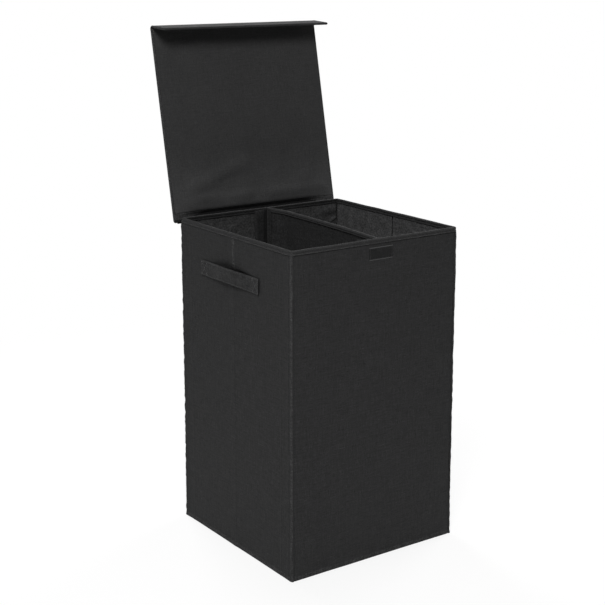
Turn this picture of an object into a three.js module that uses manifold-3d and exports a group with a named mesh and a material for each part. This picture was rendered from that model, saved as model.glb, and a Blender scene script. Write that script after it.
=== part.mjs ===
// Folding laundry hamper with two bins: cloth-covered board walls, a board divider that
// lifts out, and a hinged board lid with a folding front lip, standing open.
// Lengths are millimetres. +Z is up, the front faces -Y, and the origin is the centre
// of the underside.

import * as THREE from 'three';
import { mergeVertices } from 'three/addons/utils/BufferGeometryUtils.js';
import Module from 'manifold-3d';

const wasm = await Module();
wasm.setup();

// Body
const bodyWidth = 381;
const bodyDepth = 381;
const bodyHeight = 622;
const coverCloth = 0.75;         // outer cloth of the walls, and the floor cloth
const wallBoard = 2.5;
const liningCloth = 0.75;
const creaseGap = 3.5;           // between the two half boards of a side wall
const boardCornerGap = 1.5;      // lets the boards fold at the corner seams
const baseBoard = 3;
const baseClearance = 0.5;       // between the loose base and the linings
const bindingTape = 0.75;        // tape bound over the rim
const bindingDrop = 9;           // how far the tape comes down each side

// Carrying straps and label place
const strapLength = 202;
const strapWidth = 30;
const strapThickness = 1.75;
const strapBow = 9;              // how far the middle stands off the wall
const strapTab = 24;             // sewn end, flat on the wall
const strapCentreBack = 11;      // behind the side crease
const strapCentreBelow = 84.5;   // below the rim
const labelWidth = 54;
const labelHeight = 24;
const labelCloth = 0.75;
const labelRight = 8;            // right of the middle of the front
const labelBelow = 15.5;         // below the rim

// Divider and its hook-and-loop flaps
const dividerBoard = 2.5;
const dividerCloth = 0.75;
const dividerFrontRight = 6.5;   // front end, right of the middle
const dividerBackRight = 12.5;   // back end, right of the middle
const dividerBow = 11;           // further right between its ends
const dividerBowBack = 0.35;     // fullest this far back, as a share of its half length
const dividerEndGap = 0.5;       // to the rim tape at each end
const dividerFloorGap = 0.5;
const dividerTapeDrop = 8;
const flapWidth = 32;
const flapCloth = 0.75;
const flapBelow = 2;             // flap top below the rim
const fastenerThickness = 1;     // each half of a hook-and-loop pair
const fastenerWidth = 20;
const fastenerRimGap = 3;        // strip top below the rim tape
const fastenerFloorGap = 30;     // strip foot above the base

// Lid and lip
const lidOverhang = 6;           // beyond the body on each side
const lidCloth = 0.75;
const lidBoard = 2;
const lidBorder = 8;             // outer cloth turned in round the lining
const lidRimGap = 0.5;           // closed lid above the rim
const lidLeanDegrees = 11.5;     // open lid, back from upright
const lipHeight = 52;
const lipFrontGap = 0.75;        // closed lip in front of the rim tape
const lipTuckDegrees = 15;       // open lip, folded in past square
const hingeBehind = 4;           // hinge line behind the back wall
const hingeBelow = 12;           // hinge line below the rim
const hingeCloth = 0.75;
const hingeSideInset = 3;        // hinge cloth short of the wall's sides
const hingeBandHeight = 21;      // sewn to the back wall
const hingeBandGap = 0.4;        // end of the fixed cloth before the hinge line
const hingeFlapGap = 0.6;        // end of the lid's cloth beyond the hinge line

// Fits and making
const sheetGap = 0.3;            // between sheets of a turned or curved stack
const cutOverrun = 2;            // cutting shapes run past what they cut
const curveSteps = 12;

const wallThickness = coverCloth + wallBoard + liningCloth;
const halfWidth = bodyWidth / 2;
const halfDepth = bodyDepth / 2;
const innerHalfWidth = halfWidth - wallThickness;
const innerHalfDepth = halfDepth - wallThickness;
const wallTop = bodyHeight - bindingTape;
const baseTop = coverCloth + baseBoard + coverCloth;
const tapeFoot = bodyHeight - bindingDrop;

const clothBlack = cloth(0x2b2b2d, 0.95);
const clothLining = cloth(0x29292b, 0.97);
const tapeBlack = cloth(0x333335, 0.85);
const fastenerBlack = cloth(0x222224, 0.9);
const boardGrey = cloth(0x8a8378, 0.9);

function cloth(color, roughness) {
  return new THREE.MeshStandardMaterial({ color, roughness, metalness: 0 });
}

// A box given by its lowest and highest corners.
function box(low, high) {
  const size = high.map((value, i) => value - low[i]);
  const geometry = new THREE.BoxGeometry(...size);
  geometry.translate(...high.map((value, i) => (value + low[i]) / 2));
  return geometry;
}

// A closed outline in X and Y, raised between two heights.
function prism(points, bottom, top) {
  const shape = new THREE.Shape(points.map(([x, y]) => new THREE.Vector2(x, y)));
  const geometry = new THREE.ExtrudeGeometry(shape, { depth: top - bottom, bevelEnabled: false });
  geometry.translate(0, 0, bottom);
  return geometry;
}

// An outline in Y and Z, carried along X and centred on it.
function bar(points, length) {
  const shape = new THREE.Shape(points.map(([y, z]) => new THREE.Vector2(y, z)));
  const geometry = new THREE.ExtrudeGeometry(shape, { depth: length, bevelEnabled: false });
  geometry.translate(0, 0, -length / 2);
  const turn = new THREE.Matrix4().set(0, 0, 1, 0, 1, 0, 0, 0, 0, 1, 0, 0, 0, 0, 0, 1);
  return geometry.applyMatrix4(turn);
}

function solid(geometry) {
  const bare = geometry.clone();
  bare.deleteAttribute('normal');
  bare.deleteAttribute('uv');
  const merged = mergeVertices(bare);
  return new wasm.Manifold(new wasm.Mesh({
    numProp: 3,
    vertProperties: new Float32Array(merged.attributes.position.array),
    triVerts: new Uint32Array(merged.index.array),
  }));
}

function geometryOf(manifold) {
  const mesh = manifold.getMesh();
  const geometry = new THREE.BufferGeometry();
  geometry.setAttribute('position', new THREE.BufferAttribute(mesh.vertProperties, 3));
  geometry.setIndex(new THREE.BufferAttribute(mesh.triVerts, 1));
  geometry.computeVertexNormals();
  return geometry;
}

function add(parent, name, geometry, material) {
  const mesh = new THREE.Mesh(geometry, material);
  mesh.name = name;
  parent.add(mesh);
  return mesh;
}

// Front and back walls: a full-width cover, one board and a lining.
function frontOrBackWall(parent, name, side) {
  const face = side * halfDepth;
  const sheet = (halfSpan, foot, near, far) => {
    const ends = [face - side * near, face - side * far].sort((a, b) => a - b);
    return box([-halfSpan, ends[0], foot], [halfSpan, ends[1], wallTop]);
  };
  const lined = coverCloth + wallBoard;
  add(parent, `cover_${name}`, sheet(halfWidth, 0, 0, coverCloth), clothBlack);
  add(parent, `board_${name}`, sheet(halfWidth - coverCloth, coverCloth, coverCloth, lined), boardGrey);
  add(parent, `lining_${name}`, sheet(halfWidth - lined, coverCloth, lined, wallThickness), clothLining);
}

// Side walls: a cover, two half boards with the fold crease between them, and a lining.
function sideWall(parent, name, side) {
  const face = side * halfWidth;
  const sheet = (front, back, foot, near, far) => {
    const ends = [face - side * near, face - side * far].sort((a, b) => a - b);
    return box([ends[0], front, foot], [ends[1], back, wallTop]);
  };
  const lined = coverCloth + wallBoard;
  const coverEnd = halfDepth - coverCloth;
  const boardEnd = halfDepth - lined - boardCornerGap;
  const crease = creaseGap / 2;
  const board = (front, back) => sheet(front, back, coverCloth, coverCloth, lined);
  add(parent, `cover_${name}`, sheet(-coverEnd, coverEnd, 0, 0, coverCloth), clothBlack);
  add(parent, `board_${name}_front`, board(-boardEnd, -crease), boardGrey);
  add(parent, `board_${name}_back`, board(crease, boardEnd), boardGrey);
  const lining = sheet(-innerHalfDepth, innerHalfDepth, coverCloth, lined, wallThickness);
  add(parent, `lining_${name}`, lining, clothLining);
}

// Floor cloth of the body, and the loose base with its board and top cloth.
function floorAndBase(parent) {
  const level = (halfX, halfY, bottom, top) => box([-halfX, -halfY, bottom], [halfX, halfY, top]);
  const baseX = innerHalfWidth - baseClearance;
  const baseY = innerHalfDepth - baseClearance;
  const floor = level(halfWidth - coverCloth, halfDepth - coverCloth, 0, coverCloth);
  const board = level(baseX, baseY, coverCloth, coverCloth + baseBoard);
  const top = level(baseX, baseY, coverCloth + baseBoard, baseTop);
  add(parent, 'floor_cloth', floor, clothBlack);
  add(parent, 'base_board', board, boardGrey);
  add(parent, 'base_cloth', top, clothLining);
}

// Tape folded over the top of all four walls, in one ring.
function rimBinding(parent) {
  const ring = (grow, shrink, bottom, top) => {
    const outer = solid(box([-halfWidth - grow, -halfDepth - grow, bottom],
      [halfWidth + grow, halfDepth + grow, top]));
    const innerX = innerHalfWidth - shrink;
    const innerY = innerHalfDepth - shrink;
    const inner = solid(box([-innerX, -innerY, bottom - cutOverrun], [innerX, innerY, top + cutOverrun]));
    return outer.subtract(inner);
  };
  const tape = ring(bindingTape, bindingTape, tapeFoot, bodyHeight);
  const walls = ring(0, 0, tapeFoot - cutOverrun, wallTop);
  add(parent, 'rim_binding', geometryOf(tape.subtract(walls)), tapeBlack);
}

// Carrying strap: flat sewn ends, and a middle that stands off the wall in a smooth bow.
function carryingStrap(parent, name, side) {
  const half = strapLength / 2;
  const free = half - strapTab;
  const line = [];
  line.push([0, -half]);
  for (let i = 0; i <= 2 * curveSteps; i++) {
    const along = i / curveSteps - 1;
    line.push([strapBow * Math.cos(along * Math.PI / 2) ** 2, along * free]);
  }
  line.push([0, half]);
  const place = ([out, along], extra) => [side * (halfWidth + out + extra), strapCentreBack + along];
  const inner = line.map((point) => place(point, 0));
  const outer = line.map((point) => place(point, strapThickness)).reverse();
  const middle = bodyHeight - strapCentreBelow;
  const shape = prism([...inner, ...outer], middle - strapWidth / 2, middle + strapWidth / 2);
  add(parent, name, shape, tapeBlack);
}

function labelPatch(parent) {
  const top = bodyHeight - labelBelow;
  const shape = box([labelRight - labelWidth / 2, -halfDepth - labelCloth, top - labelHeight],
    [labelRight + labelWidth / 2, -halfDepth, top]);
  add(parent, 'label_patch', shape, tapeBlack);
}

// The divider stands between the rim tapes of the front and back walls.
const dividerHalf = innerHalfDepth - bindingTape - dividerEndGap;
const dividerFoot = baseTop + dividerFloorGap;
const sleeveHalf = dividerBoard / 2 + sheetGap + dividerCloth;
const dividerTapeHalf = sleeveHalf + sheetGap + dividerCloth;
const stripFoot = baseTop + fastenerFloorGap;
const stripTop = tapeFoot - fastenerRimGap;

// Plan outline of a sheet that follows the divider's bow, of a given half thickness. The
// bow is a parabola on each side of its fullest place, over the line between the ends.
function dividerPlan(halfThickness, halfLength) {
  const edge = [];
  for (let i = 0; i <= curveSteps; i++) {
    const along = 2 * i / curveSteps - 1;
    const reach = along < dividerBowBack ? 1 + dividerBowBack : 1 - dividerBowBack;
    const bow = dividerBow * (1 - ((along - dividerBowBack) / reach) ** 2);
    const chord = THREE.MathUtils.lerp(dividerFrontRight, dividerBackRight, i / curveSteps);
    edge.push([chord + bow, along * halfLength]);
  }
  const right = edge.map(([x, y]) => [x + halfThickness, y]);
  const left = edge.map(([x, y]) => [x - halfThickness, y]).reverse();
  return [...right, ...left];
}

function dividerSheet(halfThickness, endInset, bottom, top) {
  return prism(dividerPlan(halfThickness, dividerHalf - endInset), bottom, top);
}

// Board, sleeve cloth open at the top, and tape folded over the top edge.
function divider(parent) {
  const boardInset = dividerCloth + sheetGap;
  const sleeveTop = bodyHeight - dividerCloth - sheetGap;
  const board = dividerSheet(dividerBoard / 2, boardInset, dividerFoot + boardInset, sleeveTop);
  add(parent, 'divider_board', board, boardGrey);

  const pocket = solid(dividerSheet(dividerBoard / 2 + sheetGap, dividerCloth,
    dividerFoot + dividerCloth, bodyHeight + cutOverrun));
  const sleeve = solid(dividerSheet(sleeveHalf, 0, dividerFoot, sleeveTop)).subtract(pocket);
  add(parent, 'divider_sleeve', geometryOf(sleeve), clothLining);

  const tapeBottom = bodyHeight - dividerTapeDrop;
  const under = solid(dividerSheet(sleeveHalf + sheetGap, -cutOverrun,
    tapeBottom - cutOverrun, bodyHeight - dividerCloth));
  const tape = solid(dividerSheet(dividerTapeHalf, 0, tapeBottom, bodyHeight)).subtract(under);
  add(parent, 'divider_binding', geometryOf(tape), tapeBlack);
}

// A flap sewn to one end of the divider, with its hook strip, and the wall's loop strip.
function dividerFlap(dividerGroup, bodyGroup, name, side, dividerEnd) {
  const flapEdge = dividerEnd - dividerTapeHalf - sheetGap;
  const stripCentre = flapEdge - flapWidth / 2;
  const layer = (near, far, halfSpan, centre, bottom, top) => {
    const ends = [side * (innerHalfDepth - near), side * (innerHalfDepth - far)].sort((a, b) => a - b);
    return box([centre - halfSpan, ends[0], bottom], [centre + halfSpan, ends[1], top]);
  };
  const strip = (near, far) => layer(near, far, fastenerWidth / 2, stripCentre, stripFoot, stripTop);
  const pair = 2 * fastenerThickness;
  const flap = layer(pair, pair + flapCloth, flapWidth / 2, stripCentre,
    dividerFoot, bodyHeight - flapBelow);
  add(bodyGroup, `loop_strip_${name}`, strip(0, fastenerThickness), fastenerBlack);
  add(dividerGroup, `hook_strip_${name}`, strip(fastenerThickness, pair), fastenerBlack);
  add(dividerGroup, `divider_flap_${name}`, flap, clothLining);
}

// Lid pieces stand in the lid's own frame: the hinge line is X at the origin, and the
// closed lid reaches forward, towards -Y, above it.
const hingeY = halfDepth + hingeBehind;
const hingeZ = bodyHeight - hingeBelow;
const lidHalfWidth = halfWidth + lidOverhang;
const lidInner = hingeBelow + lidRimGap;
const lidBack = -hingeCloth / 2 - sheetGap;
const lidFront = -(hingeY + halfDepth + bindingTape + lipFrontGap);
const stackThickness = 2 * lidCloth + 2 * sheetGap + lidBoard;

// Outer cloth of a panel that lies flat from Z = 0 upwards, its lining side down. It is
// turned in round both sides and the far end, and open at the near end, Y = nearEnd.
function wrappedCloth(nearEnd, farEnd) {
  const low = Math.min(nearEnd, farEnd);
  const high = Math.max(nearEnd, farEnd);
  const inset = (amount) => (nearEnd < farEnd
    ? [low - cutOverrun, high - amount] : [low + amount, high + cutOverrun]);
  const [pocketLow, pocketHigh] = inset(lidCloth);
  const [windowLow, windowHigh] = inset(lidBorder);
  const pocketHalf = lidHalfWidth - lidCloth;
  const windowHalf = lidHalfWidth - lidBorder;
  const whole = solid(box([-lidHalfWidth, low, 0], [lidHalfWidth, high, stackThickness]));
  const pocket = solid(box([-pocketHalf, pocketLow, lidCloth],
    [pocketHalf, pocketHigh, stackThickness - lidCloth]));
  const window = solid(box([-windowHalf, windowLow, -cutOverrun],
    [windowHalf, windowHigh, lidCloth + sheetGap]));
  return whole.subtract(pocket).subtract(window);
}

// Board inside the wrapped cloth, and the lining that fills its window.
function wrappedBoard(nearEnd, farEnd) {
  const way = Math.sign(farEnd - nearEnd);
  const half = lidHalfWidth - lidCloth - sheetGap;
  const ends = [nearEnd + way * sheetGap, farEnd - way * (lidCloth + sheetGap)].sort((a, b) => a - b);
  const bottom = lidCloth + sheetGap;
  return box([-half, ends[0], bottom], [half, ends[1], bottom + lidBoard]);
}

function wrappedLining(nearEnd, farEnd) {
  const way = Math.sign(farEnd - nearEnd);
  const half = lidHalfWidth - lidBorder - sheetGap;
  const ends = [nearEnd + way * sheetGap, farEnd - way * (lidBorder + sheetGap)].sort((a, b) => a - b);
  return box([-half, ends[0], 0], [half, ends[1], liningCloth]);
}

// Quarter turn of the outer cloth over the fold between lid and lip.
function foldCloth() {
  const outer = [];
  const inner = [];
  const start = Math.PI / 2 - sheetGap / stackThickness;
  const end = Math.PI - sheetGap / stackThickness;
  for (let i = 0; i <= curveSteps; i++) {
    const angle = start + (end - start) * i / curveSteps;
    const ray = [Math.cos(angle), Math.sin(angle)];
    outer.push(ray.map((value) => value * stackThickness));
    inner.push(ray.map((value) => value * (stackThickness - lidCloth)));
  }
  const ring = bar([...outer, ...inner.reverse()], 2 * lidHalfWidth);
  return ring.translate(0, lidFront, 0);
}

function lid(parent) {
  const panel = new THREE.Group();
  panel.position.z = lidInner;
  parent.add(panel);
  const cover = wrappedCloth(lidFront, lidBack).add(solid(foldCloth()));
  add(panel, 'lid_cover', geometryOf(cover), clothBlack);
  add(panel, 'lid_board', wrappedBoard(lidFront, lidBack), boardGrey);
  add(panel, 'lid_lining', wrappedLining(lidFront, lidBack), clothLining);
}

// The lip hangs from the fold line. It is built flat, then turned to hang down.
function lip(parent) {
  const fold = new THREE.Group();
  fold.position.set(0, lidFront, lidInner);
  fold.rotation.x = THREE.MathUtils.degToRad(lipTuckDegrees);
  parent.add(fold);
  const hanging = new THREE.Group();
  hanging.rotation.x = Math.PI / 2;
  fold.add(hanging);
  add(hanging, 'lip_cover', geometryOf(wrappedCloth(0, -lipHeight)), clothBlack);
  add(hanging, 'lip_board', wrappedBoard(0, -lipHeight), boardGrey);
  add(hanging, 'lip_lining', wrappedLining(0, -lipHeight), clothLining);
}

// Hinge cloth: a band sewn to the back wall that reaches out to the hinge line, and a
// flap that goes on from there up the back edge of the lid.
function hingeBand(parent) {
  const face = halfDepth;
  const out = face + hingeCloth;
  const end = hingeY - hingeBandGap;
  const up = hingeZ + hingeCloth / 2;
  const down = hingeZ - hingeCloth / 2;
  const foot = tapeFoot - hingeBandHeight;
  const section = [[face, foot], [out, foot], [out, down], [end, down], [end, up], [out, up],
    [out, tapeFoot], [face, tapeFoot]];
  add(parent, 'hinge_band', bar(section, bodyWidth - 2 * hingeSideInset), clothBlack);
}

function hingeFlap(parent) {
  const half = halfWidth - hingeSideInset;
  const shape = box([-half, -hingeCloth / 2, hingeFlapGap],
    [half, hingeCloth / 2, lidInner + stackThickness]);
  add(parent, 'hinge_flap', shape, clothBlack);
}

const hamper = new THREE.Group();
frontOrBackWall(hamper, 'front', -1);
frontOrBackWall(hamper, 'back', 1);
sideWall(hamper, 'left', -1);
sideWall(hamper, 'right', 1);
floorAndBase(hamper);
rimBinding(hamper);
carryingStrap(hamper, 'strap_left', -1);
carryingStrap(hamper, 'strap_right', 1);
labelPatch(hamper);
hingeBand(hamper);

const dividerGroup = new THREE.Group();
hamper.add(dividerGroup);
divider(dividerGroup);
dividerFlap(dividerGroup, hamper, 'front', -1, dividerFrontRight);
dividerFlap(dividerGroup, hamper, 'back', 1, dividerBackRight);

const lidGroup = new THREE.Group();
lidGroup.position.set(0, hingeY, hingeZ);
lidGroup.rotation.x = -THREE.MathUtils.degToRad(90 + lidLeanDegrees);
hamper.add(lidGroup);
lid(lidGroup);
lip(lidGroup);
hingeFlap(lidGroup);

export default hamper;
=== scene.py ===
import math
import bpy
import numpy as np
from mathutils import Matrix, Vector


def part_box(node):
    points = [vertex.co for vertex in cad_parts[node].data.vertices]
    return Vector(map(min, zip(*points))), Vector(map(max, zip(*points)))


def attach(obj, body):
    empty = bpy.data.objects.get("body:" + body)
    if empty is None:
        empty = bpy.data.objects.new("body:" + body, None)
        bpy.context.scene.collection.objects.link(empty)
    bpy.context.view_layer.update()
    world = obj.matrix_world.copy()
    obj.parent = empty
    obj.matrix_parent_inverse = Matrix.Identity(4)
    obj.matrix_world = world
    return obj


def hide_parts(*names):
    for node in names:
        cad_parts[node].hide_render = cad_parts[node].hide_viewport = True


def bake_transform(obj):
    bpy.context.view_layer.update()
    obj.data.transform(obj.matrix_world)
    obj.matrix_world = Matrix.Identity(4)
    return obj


# Laundry hamper with two bins, black cloth over board. Shapes are worked out in
# millimetres and put into the meshes in metres.

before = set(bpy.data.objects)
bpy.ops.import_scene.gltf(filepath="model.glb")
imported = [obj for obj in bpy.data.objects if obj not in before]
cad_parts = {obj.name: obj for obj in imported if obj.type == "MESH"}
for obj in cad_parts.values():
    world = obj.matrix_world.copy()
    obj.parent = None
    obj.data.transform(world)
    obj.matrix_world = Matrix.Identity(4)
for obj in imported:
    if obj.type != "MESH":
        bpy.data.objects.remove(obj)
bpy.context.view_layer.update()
mm = 0.001


def nodeBox(node):  # lowest and highest corner of a frame node, in millimetres
    low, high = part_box(node)
    return np.array(low) / mm, np.array(high) / mm


frontLow, frontHigh = nodeBox("cover_front")
rimLow, rimHigh = nodeBox("rim_binding")
liningLow, liningHigh = nodeBox("lining_left")
halfWidth = frontHigh[0]
halfDepth = -frontLow[1]
coverTop = frontHigh[2]
rimTop = rimHigh[2]
rimFoot = rimLow[2]
innerX = -liningHigh[0]
innerY = liningHigh[1]
baseLevel = nodeBox("base_cloth")[1][2]
wall = halfWidth - innerX
skinGap = 0.1  # under the foot, and between a cover and what is sewn onto it
print("frame read: body", 2 * halfWidth, "by", 2 * halfDepth, "by", rimTop, "mm")


# Grids, paths and cloth unevenness

# Sum of plane waves with random headings, about one size across, with a spread of 1.
def ripples(x, y, size, seed, waves=14):
    draw = np.random.default_rng(seed)
    total = np.zeros(np.broadcast(x, y).shape)
    for _ in range(waves):
        heading, start = draw.uniform(0, math.tau, 2)
        length = size * draw.uniform(0.7, 1.6)
        total += np.sin(math.tau * (x * math.cos(heading) + y * math.sin(heading)) / length + start)
    return total / math.sqrt(waves / 2)


def hump(x, centre, width):  # smooth bump of height 1, a given width across at its foot
    return np.cos(np.clip((x - centre) / width, -0.5, 0.5) * math.pi) ** 2


def easeIn(x, low, high):  # 0 below low, 1 above high, smooth between
    t = np.clip((x - low) / (high - low), 0, 1)
    return t * t * (3 - 2 * t)


def roundEdge(inset, radius):  # quarter circle: 0 at the edge, 1 from the radius inwards
    return np.sqrt(np.clip(1 - (1 - np.clip(inset / radius, 0, 1)) ** 2, 0, 1))


# Places from low to high a step apart, and a fine step apart within edge of both ends.
def spread(low, high, step, edge=0.0, fine=0.0):
    if edge <= 0:
        return np.linspace(low, high, max(2, round((high - low) / step) + 1))
    side = np.linspace(0, edge, max(2, round(edge / fine) + 1))
    middle = np.linspace(low + edge, high - edge, max(2, round((high - low - 2 * edge) / step) + 1))
    return np.concatenate([low + side, middle[1:-1], (high - side)[::-1]])


def gridPoints(x, y, z):  # points from coordinates that broadcast to one shape
    return np.stack(np.broadcast_arrays(x, y, z), -1)


def runningLength(places):  # length along a path at each of its places
    return np.concatenate([[0], np.cumsum(np.linalg.norm(np.diff(places, axis=0), axis=1))])


# Path through the corners with each one rounded by an arc of the radius: its places, the
# unit normals on the right of the travel, and the length so far.
def roundedPath(corners, radius, step, closed=False, arcSteps=6):
    corners = np.asarray(corners, float)
    count = len(corners)
    radii = np.broadcast_to(np.asarray(radius, float), (count,))
    runs = []
    for k in range(count):
        here, before, after = corners[k], corners[k - 1], corners[(k + 1) % count]
        if not closed and k in (0, count - 1):
            runs.append(here[None, :])
            continue
        arrive = (here - before) / np.linalg.norm(here - before)
        leave = (after - here) / np.linalg.norm(after - here)
        turn = math.atan2(arrive[0] * leave[1] - arrive[1] * leave[0], arrive @ leave)
        reach = radii[k] * math.tan(abs(turn) / 2)
        side = np.array([-arrive[1], arrive[0]]) * math.copysign(1, turn)
        centre = here - arrive * reach + side * radii[k]
        angles = np.linspace(0, turn, arcSteps + 1)
        spoke = -side * radii[k]
        cos, sin = np.cos(angles), np.sin(angles)
        arc = np.stack([spoke[0] * cos - spoke[1] * sin, spoke[0] * sin + spoke[1] * cos], -1)
        runs.append(centre + arc)
    points = []
    for k, run in enumerate(runs):
        points.append(run)
        if closed or k < count - 1:
            start, end = run[-1], runs[(k + 1) % count][0]
            pieces = max(1, round(np.linalg.norm(end - start) / step))
            points.append(start + (end - start) * (np.arange(1, pieces) / pieces)[:, None])
    places = np.concatenate(points)
    around = np.concatenate([places[-1:], places, places[:1]]) if closed else places
    slope = np.gradient(around, axis=0)
    slope = slope[1:-1] if closed else slope
    slope /= np.linalg.norm(slope, axis=1)[:, None]
    return places, np.stack([slope[:, 1], -slope[:, 0]], -1), runningLength(places)


# One mesh from points in millimetres, an array of quads, and rings that a flat face closes.
def meshPiece(name, points, quads, loopUv=None, caps=()):
    mesh = bpy.data.meshes.new(name)
    corners = np.concatenate([quads.ravel(), *[np.asarray(c) for c in caps]]).astype(np.int32)
    totals = np.concatenate([np.full(len(quads), 4), [len(c) for c in caps]]).astype(np.int32)
    starts = np.concatenate([[0], np.cumsum(totals)[:-1]]).astype(np.int32)
    mesh.vertices.add(len(points))
    mesh.vertices.foreach_set("co", (points * mm).astype(np.float32).ravel())
    mesh.loops.add(len(corners))
    mesh.loops.foreach_set("vertex_index", corners)
    mesh.polygons.add(len(totals))
    mesh.polygons.foreach_set("loop_start", starts)
    mesh.polygons.foreach_set("use_smooth", np.ones(len(totals), bool))
    if loopUv is not None:
        layer = mesh.uv_layers.new(name="cloth")
        flat = np.zeros((len(corners), 2), np.float32)
        flat[: len(loopUv)] = loopUv
        layer.data.foreach_set("uv", flat.ravel())
    mesh.update(calc_edges=True)
    mesh.validate()
    piece = bpy.data.objects.new(name, mesh)
    bpy.context.scene.collection.objects.link(piece)
    return piece


# True lengths in metres along both ways of a grid, averaged over its lines.
def gridLengths(grid):
    u = np.linalg.norm(np.diff(grid, axis=0), axis=2).mean(1)
    v = np.linalg.norm(np.diff(grid, axis=1), axis=2).mean(0)
    return [np.concatenate([[0], np.cumsum(way)]) * mm for way in (u, v)]


def gridUv(u, v):  # the four corners' UV of every cell
    i, j = np.meshgrid(np.arange(len(u) - 1), np.arange(len(v) - 1), indexing="ij")
    corners = ((i, j), (i + 1, j), (i + 1, j + 1), (i, j + 1))
    return np.stack([np.stack([u[a], v[b]], -1) for a, b in corners], 2).reshape(-1, 4, 2)


# Skin over a grid of points. With rings, its lines along the second index are closed, and
# its first and last one are capped.
def gridPiece(name, grid, rings=False, flip=False, uvTurn=False):
    rows, across = grid.shape[:2]
    i, j = np.meshgrid(np.arange(rows - 1), np.arange(across if rings else across - 1), indexing="ij")
    after = (j + 1) % across
    quads = np.stack([i * across + j, (i + 1) * across + j, (i + 1) * across + after, i * across + after], -1)
    quads = quads.reshape(-1, 4)
    uv = gridUv(*gridLengths(np.concatenate([grid, grid[:, :1]], axis=1) if rings else grid))
    if uvTurn:
        uv = uv[:, :, ::-1]
    if flip:
        quads, uv = quads[:, ::-1], uv[:, ::-1]
    caps = []
    if rings:
        first, last = np.arange(across), (rows - 1) * across + np.arange(across)
        caps = [first[::-1] if flip else first, last if flip else last[::-1]]
    return meshPiece(name, grid.reshape(-1, 3), quads, uv.reshape(-1, 2), caps)


# Closed skin of two grids that share their outer points.
def twoSided(name, upper, lower):
    rows, across = upper.shape[:2]
    index = np.arange(rows * across).reshape(rows, across)
    inner = np.zeros((rows, across), bool)
    inner[1:-1, 1:-1] = True
    below = index.copy()
    below[inner] = rows * across + np.arange(inner.sum())
    points = np.concatenate([upper.reshape(-1, 3), lower[inner]])
    quads = [np.stack([t[:-1, :-1], t[1:, :-1], t[1:, 1:], t[:-1, 1:]], -1).reshape(-1, 4)
             for t in (index, below)]
    uv = gridUv(*gridLengths(upper))
    return meshPiece(name, points, np.concatenate([quads[0], quads[1][:, ::-1]]),
                     np.concatenate([uv, uv[:, ::-1]]).reshape(-1, 2))


# Turns the square corners of a panel's plan to arcs: rings of a square become rings of a
# circle round each corner's centre.
def roundCorners(x, y, lowX, highX, lowY, highY, radius):
    nearX = np.where(x - lowX < highX - x, x - lowX, highX - x)
    nearY = np.where(y - lowY < highY - y, y - lowY, highY - y)
    px, py = np.clip(1 - nearX / radius, 0, 1), np.clip(1 - nearY / radius, 0, 1)
    reach = np.hypot(px, py)
    scale = np.where((px > 0) & (py > 0), np.maximum(px, py) / np.maximum(reach, 1e-9), 1)
    backX, backY = radius * px * (1 - scale), radius * py * (1 - scale)
    return (x + np.where(x - lowX < highX - x, backX, -backX),
            y + np.where(y - lowY < highY - y, backY, -backY))


def thicken(piece, thickness):  # gives a sheet its thickness, behind its face
    solid = piece.modifiers.new("cloth thickness", "SOLIDIFY")
    solid.thickness = thickness * mm
    solid.offset = -1
    return piece


def paint(piece, parts):  # says by number which of its finishes each face has
    piece.data.polygons.foreach_set("material_index", np.ravel(parts).astype(np.int32))


# Gives a piece its finishes, the body it rides on and the nodes it stands for; the slot it is given is not
# used.
def settle(piece, names, slot, body=None, *nodes):
    for name in [names] if isinstance(names, str) else names:
        piece.data.materials.append(finishes[name])
    if body:
        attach(piece, body)
    if nodes:
        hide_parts(*nodes)
    return piece


# Row of short thread stitches along a path, each an arc that thins and dips into the cloth
# at both ends. path holds places and up the outward normals.
def sew(name, path, up, s, slot, body, finish="sewing thread"):
    so = runningLength(path)
    at = np.arange(s["pitch"] / 2, so[-1], s["pitch"])

    def along(where, values):
        return np.stack([np.interp(where, so, values[:, k]) for k in range(3)], -1)

    centre, out = along(at, path), along(at, up)
    way = along(at + 0.1, path) - along(at - 0.1, path)
    way /= np.linalg.norm(way, axis=1)[:, None]
    out /= np.linalg.norm(out, axis=1)[:, None]
    side = np.cross(way, out)
    t = np.linspace(-1, 1, 5)
    angles = np.arange(6) * math.tau / 6
    thin = s["thread"] * np.sqrt(np.clip(1.15 - t ** 2, 0.05, 1))
    lift = s["thread"] * 0.6 - s["sink"] * t ** 4
    rise = lift[:, None] + thin[:, None] * np.sin(angles)
    aside = thin[:, None] * np.cos(angles)
    ring = (centre[:, None, None] + (t * s["stitch"] / 2)[None, :, None, None] * way[:, None, None]
            + rise[None, ..., None] * out[:, None, None] + aside[None, ..., None] * side[:, None, None])
    n, rows, across = ring.shape[:3]
    i, j = np.meshgrid(np.arange(rows - 1), np.arange(across), indexing="ij")
    quad = np.stack([i * across + j, i * across + (j + 1) % across,
                     (i + 1) * across + (j + 1) % across, (i + 1) * across + j], -1).reshape(-1, 4)
    base = (np.arange(n) * rows * across)[:, None, None]
    first = (np.arange(n) * rows * across)[:, None] + np.arange(across)
    ends = [*first[:, ::-1], *(first + (rows - 1) * across)]
    thread = meshPiece(name, ring.reshape(-1, 3), (quad[None] + base).reshape(-1, 4), None, ends)
    settle(thread, finish, slot, body)


# Camera, lights and floor

cameraSettings = {
    "place": (-1.4975, -2.0828, 1.1226),
    "headingDegrees": -35.113,
    "downDegrees": 12.437,
    "sensorWidth": 36.0,
    "focalPixels": 1354.7,
    "framePixels": 605.0,
    "axisRow": 255.0,  # row of the picture that the camera's axis meets
    "clip": (0.1, 60.0),
}


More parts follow.
